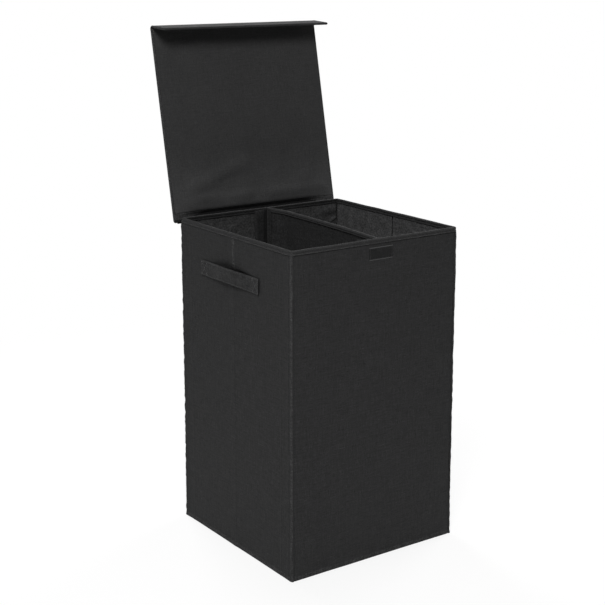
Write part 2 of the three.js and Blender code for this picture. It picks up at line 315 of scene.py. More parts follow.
# Camera whose lens and shift follow from lengths in pixels over the frame's width.
def makeCamera(s):
    data = bpy.data.cameras.new("camera")
    camera = bpy.data.objects.new("camera", data)
    bpy.context.scene.collection.objects.link(camera)
    camera.location = s["place"]
    camera.rotation_euler = (math.radians(90 - s["downDegrees"]), 0, math.radians(s["headingDegrees"]))
    data.sensor_width = s["sensorWidth"]
    data.lens = s["sensorWidth"] * s["focalPixels"] / s["framePixels"]
    data.shift_y = (s["axisRow"] - s["framePixels"] / 2) / s["framePixels"]
    data.clip_start, data.clip_end = s["clip"]
    bpy.context.scene.camera = camera


makeCamera(cameraSettings)

lightSettings = {
    "key": {"place": (-1.8, -2.25, 3.0), "aim": (0, 0, 0.6), "size": 1.3, "watts": 121},
    "left": {"place": (-2.9, -0.3, 2.7), "aim": (0, 0, 0.5), "size": 1.8, "watts": 20},
    "top": {"place": (0.0, 0.2, 3.3), "aim": (0, 0, 0.6), "size": 1.8, "watts": 6},
    "right": {"place": (2.9, 0.7, 2.2), "aim": (0, 0, 0.5), "size": 2.0, "watts": 60},
    "back": {"place": (0.4, 3.3, 2.4), "aim": (0, 0, 0.5), "size": 2.0, "watts": 90},
}


def makeLights(settings):  # round lamps, each turned towards what it aims at
    for name, s in settings.items():
        data = bpy.data.lights.new(name + " light", "AREA")
        data.shape = "DISK"
        data.size = s["size"]
        data.energy = s["watts"]
        lamp = bpy.data.objects.new(name + " light", data)
        lamp.location = s["place"]
        way = np.array(s["aim"]) - np.array(s["place"])
        heading = math.atan2(way[1], way[0]) - math.pi / 2
        lamp.rotation_euler = (math.atan2(math.hypot(way[0], way[1]), -way[2]), 0, heading)
        bpy.context.scene.collection.objects.link(lamp)


makeLights(lightSettings)


# Adds one shader node, sets its values by name, and sets or links its sockets.
def shader(tree, kind, place, sockets=(), **values):
    node = tree.nodes.new(kind)
    node.location = (place[0] * 200, place[1] * 200)
    for name, value in values.items():
        setattr(node, name, value)
    for socket, source in dict(sockets).items():
        if isinstance(source, bpy.types.NodeSocket):
            tree.links.new(source, node.inputs[socket])
        else:
            node.inputs[socket].default_value = source
    return node


def calc(tree, place, kind, a, b):  # one step of arithmetic on a and b
    return shader(tree, "ShaderNodeMath", place, {0: a, 1: b}, operation=kind).outputs[0]


def remap(tree, place, value, low, high, toLow, toHigh):  # moves a value from one range onto another
    return shader(tree, "ShaderNodeMapRange", place, {
        "Value": value, "From Min": low, "From Max": high, "To Min": toLow, "To Max": toHigh}).outputs[0]


def emptyMaterial(name):  # a material without nodes, and its node tree
    material = bpy.data.materials.new(name)
    material.use_nodes = True
    material.node_tree.nodes.clear()
    return material, material.node_tree


backdropSettings = {"roomGrey": 0.03, "floorGrey": 0.95, "floorHalf": 20000.0, "floorLevel": -0.3,
                    "glowNear": 0.8, "nearMetres": 0.3, "farMetres": 1.6}
white = (1, 1, 1, 1)


def seenDirectly(tree):  # 1 where the camera sees it straight, in a gloss or through glass
    light = shader(tree, "ShaderNodeLightPath", (-4, 0)).outputs
    gloss = calc(tree, (-3, 0), "MAXIMUM", light["Is Camera Ray"], light["Is Glossy Ray"])
    return calc(tree, (-2, 0), "MAXIMUM", gloss, light["Is Transmission Ray"])


# White room behind a pale floor. Near the object the floor is part paint, which takes the
# object's shadow, and further out it glows white into the room.
def makeBackdrop(s):
    world = bpy.data.worlds.new("studio")
    world.use_nodes = True
    tree = world.node_tree
    tree.nodes.clear()
    seen = shader(tree, "ShaderNodeBackground", (-1, 1), {"Color": white, "Strength": 1.0}).outputs[0]
    room = shader(tree, "ShaderNodeBackground", (-1, -1), {"Color": white, "Strength": s["roomGrey"]})
    mix = shader(tree, "ShaderNodeMixShader", (0, 0), {0: seenDirectly(tree), 1: room.outputs[0], 2: seen})
    shader(tree, "ShaderNodeOutputWorld", (1, 0), {"Surface": mix.outputs[0]})
    bpy.context.scene.world = world

    material, tree = emptyMaterial("pale floor")
    paper = shader(tree, "ShaderNodeBsdfDiffuse", (-1, -1), {"Color": (s["floorGrey"],) * 3 + (1,)})
    glow = shader(tree, "ShaderNodeEmission", (-1, 1), {"Color": white, "Strength": 1.0})
    place = shader(tree, "ShaderNodeTexCoord", (-4, 2)).outputs["Object"]
    away = shader(tree, "ShaderNodeVectorMath", (-3, 2), {0: place}, operation="LENGTH").outputs["Value"]
    fade = remap(tree, (-2, 2), away, s["nearMetres"], s["farMetres"], s["glowNear"], 1.0)
    share = calc(tree, (-1, 0), "MULTIPLY", seenDirectly(tree), fade)
    mix = shader(tree, "ShaderNodeMixShader", (0, 0), {0: share, 1: paper.outputs[0], 2: glow.outputs[0]})
    shader(tree, "ShaderNodeOutputMaterial", (1, 0), {"Surface": mix.outputs[0]})
    half, level = s["floorHalf"], s["floorLevel"]
    square = [[-half, -half, level], [half, -half, level], [half, half, level], [-half, half, level]]
    floor = meshPiece("floor", np.array(square), np.array([[0, 1, 2, 3]]))
    floor.data.materials.append(material)


makeBackdrop(backdropSettings)
bpy.context.scene.view_settings.view_transform = "Standard"
print("camera, lights and floor made")


# Finishes. Cloth patterns follow each piece's own UV map, which is in metres.

# Fine threads both ways, uneven yarns, a slow mottle, specks, rare slubs, and fuzz at
# grazing angles. With painted light, a cloth is paler from the start of its map's second way.
def clothMaterial(name, s):
    material, tree = emptyMaterial(name)
    uv = shader(tree, "ShaderNodeUVMap", (-9, 0), uv_map="cloth").outputs[0]

    def streaks(place, scaleU, scaleV, detail):
        stretch = shader(tree, "ShaderNodeMapping", (-8, place), {"Vector": uv, "Scale": (scaleU, scaleV, 1)})
        return shader(tree, "ShaderNodeTexNoise", (-7, place), {
            "Vector": stretch.outputs[0], "Scale": 1.0, "Detail": detail, "Roughness": 0.6}).outputs["Fac"]

    def vary(place, value, low, high, amount):
        return remap(tree, place, value, low, high, 1 - amount, 1 + amount)

    def rare(place, value):  # 1 at the noise's rare highs and -1 at its rare lows
        highs = remap(tree, (-6, place), value, 0.66, 0.74, 0, 1)
        lows = remap(tree, (-6, place - 1), value, 0.34, 0.26, 0, 1)
        return calc(tree, (-5, place), "SUBTRACT", highs, lows)

    threads, lengthwise = s["threadsPerMetre"], s["threadsPerMetre"] / s["threadLength"]
    yarns, yarnRuns = s["yarnsPerMetre"]
    slubScale, slubRuns = s["slubsPerMetre"]
    weave = calc(tree, (-6, 1), "ADD", streaks(2, threads, lengthwise, 2), streaks(1, lengthwise, threads, 2))
    yarn = calc(tree, (-6, 4), "ADD", streaks(4, yarns, yarnRuns, 2), streaks(3, yarnRuns, yarns, 2))
    mottle = streaks(0, s["mottlePerMetre"], s["mottlePerMetre"], 3)
    speck = streaks(-1, s["speckPerMetre"], s["speckPerMetre"], 2)
    slubs = calc(tree, (-4, -2), "ADD", rare(-2, streaks(-2, slubScale, slubRuns, 1)),
                 rare(-4, streaks(-4, slubRuns, slubScale, 1)))

    tone = calc(tree, (-5, 1), "MULTIPLY", vary((-6, 2), weave, 0.7, 1.3, s["weaveTone"]),
                vary((-6, 0), mottle, 0.3, 0.7, s["mottleTone"]))
    tone = calc(tree, (-4, 1), "MULTIPLY", tone, vary((-6, -1), speck, 0.35, 0.65, s["speckTone"]))
    tone = calc(tree, (-4, 3), "MULTIPLY", tone, vary((-5, 4), yarn, 0.75, 1.25, s["yarnTone"]))
    tone = calc(tree, (-3, 1), "MULTIPLY", tone, vary((-4, 2), slubs, -1, 1, s["slubTone"]))
    # painted light: the tone rises towards the start of the map's second way
    if "paintedLight" in s:
        upwards = shader(tree, "ShaderNodeSeparateXYZ", (-4, 5), {0: uv}).outputs[1]
        paintedLight = remap(tree, (-3, 5), upwards, 0, s["paintedLightMetres"], s["paintedLight"], 1)
        tone = calc(tree, (-2, 3), "MULTIPLY", tone, paintedLight)
    colour = shader(tree, "ShaderNodeVectorMath", (-2, 1), {0: s["colour"], 3: tone}, operation="SCALE")

    relief = calc(tree, (-3, -1), "ADD", weave, calc(tree, (-4, -1), "MULTIPLY", slubs, s["slubRelief"]))
    relief = calc(tree, (-3, -3), "ADD", relief, yarn)
    relief = calc(tree, (-2, -1), "ADD", relief, calc(tree, (-3, -2), "MULTIPLY", speck, s["speckRelief"]))
    bump = shader(tree, "ShaderNodeBump", (-1, -1), {
        "Height": relief, "Distance": s["reliefMetres"], "Strength": s["bumpStrength"]})
    rough = remap(tree, (-2, 0), mottle, 0.3, 0.7, s["roughness"] - 0.04, s["roughness"] + 0.04)
    skin = shader(tree, "ShaderNodeBsdfPrincipled", (0, 0), {
        "Base Color": colour.outputs[0], "Roughness": rough, "Normal": bump.outputs[0],
        "Specular IOR Level": s["gloss"], "Sheen Weight": s["fuzz"], "Sheen Roughness": s["fuzzSpread"],
        "Sheen Tint": white})
    shader(tree, "ShaderNodeOutputMaterial", (1, 0), {"Surface": skin.outputs[0]})
    return material


wovenCloth = {
    "threadsPerMetre": 1300, "threadLength": 14, "yarnsPerMetre": (290, 24), "slubsPerMetre": (420, 60),
    "mottlePerMetre": 16, "mottleTone": 0.06, "weaveTone": 0.24, "yarnTone": 0.13, "slubTone": 0.3,
    "speckPerMetre": 420, "speckTone": 0.14, "speckRelief": 0.3, "slubRelief": 0.6, "reliefMetres": 0.0003,
    "bumpStrength": 0.8, "roughness": 0.93, "gloss": 0.12, "fuzz": 0.006, "fuzzSpread": 0.4,
}
feltCloth = {
    **wovenCloth, "threadsPerMetre": 700, "threadLength": 3, "mottlePerMetre": 75, "mottleTone": 0.3,
    "weaveTone": 0.2, "yarnTone": 0.08, "slubTone": 0.2, "speckPerMetre": 260, "speckTone": 0.35,
    "speckRelief": 1.4, "reliefMetres": 0.0005, "roughness": 0.9, "gloss": 0.14, "fuzz": 0.016,
}
clothSettings = {
    "coverCloth": {  # painted light from the floor: a little paler towards the foot
        **wovenCloth, "colour": (0.0198, 0.0198, 0.0201), "paintedLight": 1.2, "paintedLightMetres": 0.6},
    "panelCloth": {  # inner face of the lid, with painted light: paler towards the hinge
        **wovenCloth, "colour": (0.0288, 0.0288, 0.0291), "mottlePerMetre": 14, "mottleTone": 0.04,
        "weaveTone": 0.16, "yarnTone": 0.07, "slubTone": 0.16, "speckTone": 0.1, "reliefMetres": 0.0002,
        "gloss": 0.06, "fuzz": 0.003, "paintedLight": 1.5, "paintedLightMetres": 0.12},
    "liningCloth": {  # front and back linings, and the base
        **feltCloth, "colour": (0.0285, 0.0285, 0.0288), "speckTone": 0.4},
    # painted light: the side linings' felt made paler than the front and back linings
    "sideLiningCloth": {**feltCloth, "colour": (0.046, 0.046, 0.0465)},
    "sleeveCloth": {  # the divider's own darker cloth; on its flaps and the rim tape inside the front and the sides, painted shade
        **feltCloth, "colour": (0.0165, 0.0165, 0.0168), "mottlePerMetre": 60, "mottleTone": 0.22,
        "yarnTone": 0.1, "speckRelief": 1.2, "reliefMetres": 0.0004, "fuzz": 0.005},
    "bindingTape": {
        **wovenCloth, "colour": (0.022, 0.022, 0.0223), "threadsPerMetre": 1500, "threadLength": 8,
        "mottlePerMetre": 30, "mottleTone": 0.1, "weaveTone": 0.25, "yarnTone": 0.1, "slubTone": 0.2,
        "speckPerMetre": 500, "speckTone": 0.12, "reliefMetres": 0.00025, "roughness": 0.86},
    "paintedHighlightCloth": {  # painted highlight: welts, fold lines, foot, the lid's inner border and foot, the straps' edges
        **wovenCloth, "colour": (0.0285, 0.0285, 0.0288), "threadsPerMetre": 900, "threadLength": 5,
        "mottlePerMetre": 85, "mottleTone": 0.22, "weaveTone": 0.3, "yarnTone": 0.2, "slubTone": 0.4,
        "speckPerMetre": 300, "speckTone": 0.35, "speckRelief": 1.0, "reliefMetres": 0.0004,
        "roughness": 0.9, "gloss": 0.14, "fuzz": 0.008},
    "ridgeHighlightCloth": {  # painted highlight: the tapes along their ridge, and the rim's outer hem
        **wovenCloth, "colour": (0.034, 0.034, 0.0343), "threadLength": 6, "mottlePerMetre": 85,
        "mottleTone": 0.2, "weaveTone": 0.3, "yarnTone": 0.2, "speckPerMetre": 400, "speckTone": 0.3,
        "speckRelief": 0.8, "reliefMetres": 0.0004, "roughness": 0.88, "gloss": 0.14, "fuzz": 0.008},
    "paintedShadeCloth": {  # painted shade: folds, grooves, under the rim tape, its inside at the back, strap backs
        **wovenCloth, "colour": (0.0105, 0.0105, 0.0107), "threadsPerMetre": 1100, "threadLength": 5,
        "mottlePerMetre": 50, "mottleTone": 0.2, "weaveTone": 0.25, "yarnTone": 0.12, "slubTone": 0.25,
        "speckPerMetre": 380, "speckTone": 0.3, "speckRelief": 0.6, "roughness": 0.92, "gloss": 0.08,
        "fuzz": 0.003},
    "strapCloth": {
        **wovenCloth, "colour": (0.0208, 0.0208, 0.0211), "threadLength": 12, "mottlePerMetre": 60,
        "mottleTone": 0.2, "weaveTone": 0.3, "yarnTone": 0.2, "slubTone": 0.35, "speckPerMetre": 300,
        "speckTone": 0.3, "speckRelief": 0.6, "roughness": 0.88, "fuzz": 0.005},
    "patchCloth": {
        **wovenCloth, "colour": (0.0145, 0.0145, 0.0147), "threadsPerMetre": 2600, "threadLength": 20,
        "mottlePerMetre": 90, "mottleTone": 0.15, "weaveTone": 0.25, "yarnTone": 0.1, "slubTone": 0.1,
        "speckPerMetre": 600, "speckTone": 0.15, "speckRelief": 0.2, "reliefMetres": 0.00015,
        "roughness": 0.85, "gloss": 0.05, "fuzz": 0.002},
}
finishes = {name: clothMaterial(name, settings) for name, settings in clothSettings.items()}


# Thread, board and fastener tape: a colour broken up by a noise on object coordinates.
def plainMaterial(name, colour, roughness, grain, depth):
    material, tree = emptyMaterial(name)
    place = shader(tree, "ShaderNodeTexCoord", (-5, 0)).outputs["Object"]
    noise = shader(tree, "ShaderNodeTexNoise", (-4, 0), {
        "Vector": place, "Scale": grain, "Detail": 4.0, "Roughness": 0.65}).outputs["Fac"]
    tone = remap(tree, (-3, 0), noise, 0.3, 0.7, 0.8, 1.2)
    tint = shader(tree, "ShaderNodeVectorMath", (-2, 0), {0: colour, 3: tone}, operation="SCALE").outputs[0]
    bump = shader(tree, "ShaderNodeBump", (-1, -1), {"Height": noise, "Distance": depth, "Strength": 0.7})
    skin = shader(tree, "ShaderNodeBsdfPrincipled", (0, 0), {
        "Base Color": tint, "Roughness": roughness, "Normal": bump.outputs[0], "Specular IOR Level": 0.2})
    shader(tree, "ShaderNodeOutputMaterial", (1, 0), {"Surface": skin.outputs[0]})
    finishes[name] = material


plainMaterial("sewing thread", (0.038, 0.038, 0.0385), 0.7, 900, 0.0001)
plainMaterial("thread of the straps' ends", (0.08, 0.08, 0.081), 0.7, 900, 0.0001)
plainMaterial("patch edging", (0.054, 0.054, 0.0545), 0.8, 900, 0.0001)
plainMaterial("grey board", (0.28, 0.25, 0.21), 0.9, 220, 0.0003)
plainMaterial("hook and loop tape", (0.016, 0.016, 0.017), 0.9, 700, 0.0008)
print("finishes made")


# Boards: flat panels with softened edges, thinner than their pockets so that the cloth
# over them can give

boardSettings = {"thick": 1.6, "edge": 0.8, "endGap": 4.0, "foldGap": 4.5, "footGap": 1.0, "topGap": 0.5,
                 "coverGap": 0.05, "lineStep": 6.0}
dentSettings = {
    "depth": 8.0, "centre": 4.0, "width": 190.0,
    "edge": 551.5,  # the level down from which it is deep
    "edgeDip": 2.0, "dipAt": 11.0, "dipWidth": 154.0,  # the level sinks behind the strap's middle
    "reach": 4.4,  # how far up it dies out, and how much further near fullAt
    "fullReach": 5.5, "fullAt": 38.0, "fullWidth": 120.0,
    "fade": (14.0, 30.0), "foot": 526.0, "footReach": 10.0,
    "rows": np.arange(-10, 20, 1.25),  # a cover's rows near that level
}


# How far a side wall gives inwards behind its strap: deepest at the strap's upper edge, and
# dying out above it.
def strapDent(y, z):
    s = dentSettings
    reach = s["reach"] + s["fullReach"] * hump(y, s["fullAt"], s["fullWidth"])
    above = z - s["edge"] + s["edgeDip"] * hump(y, s["dipAt"], s["dipWidth"])
    fade = np.exp(-np.clip(above, 0, None) / reach) * (1 - easeIn(above, *s["fade"]))
    rise = easeIn(z, s["foot"], s["edge"] - s["footReach"])
    return s["depth"] * hump(y, s["centre"], s["width"]) * fade * rise


# Closed slab on a plan of two lengths: place(a, b, offset) gives points, and the offset
# runs from -1 to 1 across the thickness.
def slab(name, a, b, place):
    s = boardSettings
    rounding = s["edge"] * np.array([0.1, 0.4, 1])
    a, b = (np.unique(np.concatenate([line, line[:1] + rounding, line[-1:] - rounding])) for line in (a, b))
    across, up = np.meshgrid(a, b, indexing="ij")
    inset = np.minimum(np.minimum(across - a[0], a[-1] - across), np.minimum(up - b[0], b[-1] - up))
    edge = roundEdge(inset, s["edge"])
    return twoSided(name, place(across, up, edge), place(across, up, -edge))


# Board of a wall: it follows the dent on the sides, and ends short of corners and folds.
def wallBoard(name, node):
    s = boardSettings
    low, high = nodeBox(node)
    thin = 0 if high[0] - low[0] < high[1] - low[1] else 1
    wide = 1 - thin
    side = np.sign(low[thin] + high[thin])
    depth = min(abs(low[thin]), abs(high[thin])) + s["thick"] / 2 + s["coverGap"]
    ends = [value - math.copysign(s["endGap"], value) if abs(value) > halfWidth / 2 else
            math.copysign(s["foldGap"], low[wide] + high[wide]) for value in (low[wide], high[wide])]

    def place(across, up, offset):
        facing = -1 if thin else 1  # keeps the faces outwards on both kinds of wall
        dent = strapDent(across, up) if thin == 0 else 0
        points = np.zeros(across.shape + (3,))
        points[..., wide], points[..., 2] = across, up
        points[..., thin] = side * (depth - dent) + facing * offset * s["thick"] / 2
        return points

    piece = slab(name, spread(ends[0], ends[1], s["lineStep"]),
                 spread(low[2] + s["footGap"], high[2] - s["topGap"], s["lineStep"]), place)
    settle(piece, "grey board", "board", "body", node)


for name, node in (("frontBoard", "board_front"), ("backBoard", "board_back"),
                   ("leftFrontBoard", "board_left_front"), ("leftBackBoard", "board_left_back"),
                   ("rightFrontBoard", "board_right_front"), ("rightBackBoard", "board_right_back")):
    wallBoard(name, node)
print("wall boards made")


# Wall covers. The side covers wrap both corners and end in a seam on the front and back,
# where the seam allowance inside them stands up as a welt.

coverSettings = {
    "cornerRadius": 2.2,
    "wrap": 4.5,          # side cover on the front and back faces
    "weltRise": 0.7,
    "weltWidth": 6.6,     # to the stitch line on the side, from a little before the corner
    "weltBefore": 0.5,
    "weltSoft": 1.6,
    "weltPucker": 0.35,
    "puckerSize": 13.0,
    "puckerWidth": 10.0,
    "highlightHalf": 2.2,      # half the width of the painted highlight on the corner
    "highlightFoot": 7.0,      # height of the painted light along the foot
    "grooveDepth": 0.6,   # along the stitch line, with a low roll of cloth beside it
    "grooveAt": 0.9,
    "grooveWidth": 2.4,
    "rollRise": 0.45,
    "rollAt": 3.4,
    "rollWidth": 4.4,
    "endSink": 1.0,       # the side cover's ends sink into the seam
    "allowance": 16.0,    # from the corner to the inner edge of the seam allowance
    "allowanceRise": 0.22,
    "allowanceSoft": 0.8,
    "ridge": 34.0,        # from the corner to a faint upright ridge
    "ridgeRise": 0.3,
    "ridgeWidth": 6.0,
    "seamDip": 1.3,       # the front cover runs in under the welt
    "seamLap": 1.3,
    "waist": 0.45,        # walls drawn in at mid height
    "flare": 0.6,         # and out at the foot
    "flareHeight": 60.0,
    "footRadius": 1.5,
    "foldUnder": 3.6,
    "footHem": 1.0,
    "hemHeight": 9.0,
    "hemGroove": 0.3,
    "tapePress": 0.5,     # the tape presses the cover in and flattens its welt and fold
    "tapeShade": 0.9,
    "tapeFlattens": 0.9,
    "unevenness": 0.16,
    "unevenSize": 110.0,
    "unevenLimits": (-0.35, 0.6),
    "calmHeight": 30.0,
    "creaseRise": 1.5,    # the side walls' fold line stands up a little, least low down
    "creaseLeast": 0.3,
    "creaseBelowRim": (180.0, 100.0),
    "creaseSteep": 4.5,
    "creaseSlow": 20.0,
    # next: width of the painted highlight along the fold line
    "creaseHighlight": 2.4,
    "cloth": 0.75,
}


# Offset out of the wall and height: in under the foot, round its edge, then straight up,
# with closer rows at the dent and below the tape.
def footProfile(s):
    r = s["footRadius"]
    angles = np.linspace(0, math.pi / 2, 6)
    offsets = np.concatenate([[-s["foldUnder"]], -r * (1 - np.sin(angles))])
    heights = np.concatenate([[skinGap], skinGap + r * (1 - np.cos(angles))])
    dent = dentSettings["edge"] + dentSettings["rows"]
    tape = rimFoot - s["tapeShade"] + np.array([0, 2])
    straight = spread(heights[-1], coverTop, 5.0, 25, 2.5)[1:]
    up = np.unique(np.concatenate([straight, dent, tape]).round(4))
    return np.concatenate([offsets, np.zeros(len(up))]), np.concatenate([heights, up])


# Slow unevenness, a slight waist, a flare at the foot and a soft hem along it. The
# unevenness dies out below the rim tape, which presses the cover in.
def wallShape(s, along, z, seed):
    waist = -s["waist"] * np.sin(math.pi * np.clip(z / coverTop, 0, 1)) ** 2
    flare = s["flare"] * hump(z, 0, 2 * s["flareHeight"])
    uneven = np.clip(s["unevenness"] * ripples(along, z, s["unevenSize"], seed), *s["unevenLimits"])
    calm = easeIn(z, rimFoot - s["calmHeight"], rimFoot)
    hem = s["footHem"] * (1 - easeIn(z, 0.5, s["hemHeight"]))
    hem = hem - s["hemGroove"] * hump(z, s["hemHeight"] + 1.5, 5)
    pressed = -s["tapePress"] * easeIn(z, rimFoot - 1, rimFoot + 2)
    return waist + flare + hem + pressed + (1 - calm) * uneven


# Side cover: the wall's profile carried along a path round both corners, and moved along
# the path's normals: out by the welts, the fold line and the wall's shape, and in by the
# strap's dent.
def sideCover(side, name, seed):
    s = coverSettings
    end = halfWidth - s["wrap"]
    corners = [(end, -halfDepth), (halfWidth, -halfDepth), (halfWidth, halfDepth), (end, halfDepth)]
    places, normals, length = roundedPath(corners, s["cornerRadius"], 5.0, arcSteps=8)
    middle = length[-1] / 2
    seam = s["wrap"] - s["weltBefore"] + s["weltWidth"]
    inner, ridge = s["wrap"] + s["allowance"], s["wrap"] + s["ridge"]
    half = np.array([0.8, 1.6, 2.5, 3.5, 4.5, 6])
    crease = middle + np.concatenate([-half[::-1], [0], half])
    corner = np.concatenate([np.arange(0.6, seam + 5, 0.6), inner + np.arange(-3, 3.5, 0.75),
                             ridge + np.arange(-3, 3.5, 1)])
    at = np.unique(np.concatenate([length, crease, corner, length[-1] - corner]).round(4))
    x, y = (np.interp(at, length, places[:, k]) for k in range(2))
    nx, ny = (np.interp(at, length, normals[:, k]) for k in range(2))
    offsets, heights = footProfile(s)
    z = heights[None, :]
    fromEnd = np.minimum(at, length[-1] - at)
    fromSeam = easeIn(fromEnd, 0, s["weltSoft"])
    welt = s["weltRise"] * (fromSeam - easeIn(fromEnd, seam - 1, seam + 0.6)) - s["endSink"] * (1 - fromSeam)
    welt += s["rollRise"] * hump(fromEnd, seam + s["rollAt"], s["rollWidth"])
    welt -= s["grooveDepth"] * hump(fromEnd, seam + s["grooveAt"], s["grooveWidth"])
    welt += s["ridgeRise"] * hump(fromEnd, ridge, s["ridgeWidth"])
    onAllowance = 1 - easeIn(fromEnd, inner - s["allowanceSoft"], inner + s["allowanceSoft"])
    welt += s["allowanceRise"] * onAllowance
    onCorner = hump(fromEnd, s["wrap"] + 1, s["puckerWidth"])[:, None]
    pucker = s["weltPucker"] * ripples(0 * z, z, s["puckerSize"], seed + 5) * onCorner
    fold = s["creaseRise"] * np.where(at < middle, hump(at, middle, 2 * s["creaseSteep"]),
                                      hump(at, middle, 2 * s["creaseSlow"]))
    low, high = (rimTop - below for below in s["creaseBelowRim"])
    firm = s["creaseLeast"] + (1 - s["creaseLeast"]) * easeIn(z, low, high)
    free = 1 - s["tapeFlattens"] * easeIn(z, rimFoot - 4, rimFoot + 1)
    shape = wallShape(s, y[:, None] + 7 * side, z, seed) - strapDent(y[:, None], z)
    out = (welt[:, None] + pucker + fold[:, None] * firm) * free + shape + offsets[None, :]
    grid = gridPoints(side * (x[:, None] + nx[:, None] * out), y[:, None] + ny[:, None] * out, z)
    piece = gridPiece(name, grid, flip=side < 0)
    # painted highlight on the corner welt and along the fold line above the dent, painted light at the foot
    highlightCorner = np.abs(fromEnd[:-1] - s["wrap"] - 0.3) < s["highlightHalf"]
    highlightFold = np.abs(at[:-1] - middle + s["creaseHighlight"] / 2) < s["creaseHighlight"]
    aboveDent, atFoot = heights[:-1] > dentSettings["edge"], heights[:-1] < s["highlightFoot"]
    paint(piece, highlightCorner[:, None] | (highlightFold[:, None] & aboveDent) | atFoot)
    thicken(piece, s["cloth"])
    settle(piece, ("coverCloth", "paintedHighlightCloth"), "cover_cloth", "body", "cover_" + name.removesuffix("Cover"))


# Front or back cover: its ends dip under the side covers' welts.
def flatCover(side, name, seed):
    s = coverSettings
    end = halfWidth - s["wrap"] + s["seamLap"]
    at = spread(-end, end, 5.0, 8, 0.8)[:, None]
    offsets, heights = footProfile(s)
    z = heights[None, :]
    tuck = -s["seamDip"] * (1 - easeIn(end - np.abs(at), s["seamLap"] - 0.3, s["seamLap"] + 1.9))
    out = tuck + wallShape(s, at, z, seed) + offsets[None, :]
    piece = gridPiece(name, gridPoints(at, side * (halfDepth + out), z), flip=side > 0)
    # painted light along the foot, and painted shadow on the cover just below the rim tape
    underTape = heights[1:] > rimFoot - s["tapeShade"]
    parts = np.where(heights[:-1] < s["highlightFoot"], 1, np.where(underTape, 2, 0))
    paint(piece, np.tile(parts, len(at) - 1))
    thicken(piece, s["cloth"])
    settle(piece, ("coverCloth", "paintedHighlightCloth", "paintedShadeCloth"), "cover_cloth", "body",
           "cover_" + name.removesuffix("Cover"))


sideCover(-1, "leftCover", 11)
sideCover(1, "rightCover", 12)
flatCover(-1, "frontCover", 13)
flatCover(1, "backCover", 14)
print("wall covers made")


# Linings, with a fold groove at the middle of each side

liningSettings = {
    "unevenness": 0.5, "unevenSize": 60.0, "fine": 0.16, "fineSize": 16.0, "calmHeight": 25.0,
    "cloth": 0.65, "belowBase": 3.5,
    "grooveDepth": 2.8, "grooveWidth": 6.5, "grooveDark": 1.6, "cornerGap": 1.6,
}
sagSettings = {  # widths from the middle of the wall, and levels above the floor
    "start": (128, 165), "end": (181, 186), "bulge": 3.6, "bulgeLevel": 600, "bulgeHeight": 28,
    "fold": 3.0, "foldStart": (158, 170), "foldX": 176, "foldLevel": 579, "foldSlope": 0.5, "foldHeight": 9,
}


# Unevenness that only ever stands into the bin.
def liningShape(s, along, z, seed):
    uneven = s["unevenness"] * (1 + ripples(along, z, s["unevenSize"], seed))
    uneven = np.clip(uneven, 0, None) + s["fine"] * (1 + ripples(along, z, s["fineSize"], seed + 50))
    return uneven * (1 - easeIn(z, rimFoot - s["calmHeight"], rimFoot))


# Side lining: it stands into the bin by its unevenness and the strap's dent, and back from
# it in the fold groove and at the corners.
def sideLining(side, name, node, seed):
    s = liningSettings
    half = np.array([0.5, 1.2, 1.8, 2.5, 4, 6, 9])
    at = np.unique(np.concatenate([spread(-innerY, innerY, 4.0, 8, 1.5), -half, [0], half]))[:, None]
    z = spread(baseLevel - s["belowBase"], coverTop, 4.0, 12, 2.5)[None, :]
    dip = hump(at, 0, s["grooveWidth"])
    into = liningShape(s, at, z, seed) * (1 - dip) - s["grooveDepth"] * dip + strapDent(at, z)
    into -= s["cornerGap"] * (1 - easeIn(innerY - np.abs(at), 0.5, 3.5))
    piece = gridPiece(name, gridPoints(side * (innerX - into), at, z), flip=side > 0)
    # painted shade in the fold groove
    inGroove = np.abs(at[:-1] + at[1:]) / 2 < s["grooveDark"]
    paint(piece, np.repeat(inGroove, z.size - 1))
    thicken(piece, s["cloth"])
    settle(piece, ("sideLiningCloth", "paintedShadeCloth"), "lining_cloth", "body", node)


# The back lining sags at its right corner: a bulge below the tape, a hollow, and a slanting
# fold under it.
def cornerSag(x, z):
    s = sagSettings
    near = easeIn(x, *s["start"]) * (1 - easeIn(x, *s["end"]))
    slant = s["foldLevel"] + s["foldSlope"] * (x - s["foldX"])
    fold = s["fold"] * easeIn(x, *s["foldStart"]) * hump(z, slant, s["foldHeight"])
    return near * (s["bulge"] * hump(z, s["bulgeLevel"], s["bulgeHeight"]) + fold)


# Front or back lining: it stands into the bin by its unevenness, the back one also by its
# sag.
def flatLining(side, name, node, seed):
    s = liningSettings
    at = spread(-innerX, innerX, 4.0, 8, 1.5)[:, None]
    z = spread(baseLevel - s["belowBase"], coverTop, 4.0, 50, 2.0)[None, :]
    into = liningShape(s, at, z, seed) + (cornerSag(at, z) if side > 0 else 0)
    piece = gridPiece(name, gridPoints(at, side * (innerY - into), z), flip=side < 0)
    settle(thicken(piece, s["cloth"]), "liningCloth", "lining_cloth", "body", node)


sideLining(-1, "leftLining", "lining_left", 21)
sideLining(1, "rightLining", "lining_right", 22)
flatLining(-1, "frontLining", "lining_front", 23)
flatLining(1, "backLining", "lining_back", 24)
print("linings made")


# The floor cloth and the base's top cloth

bottomSettings = {"floorGap": 0.3, "baseGap": 0.8, "baseUneven": 0.25, "unevenSize": 90.0, "corner": 4.0}


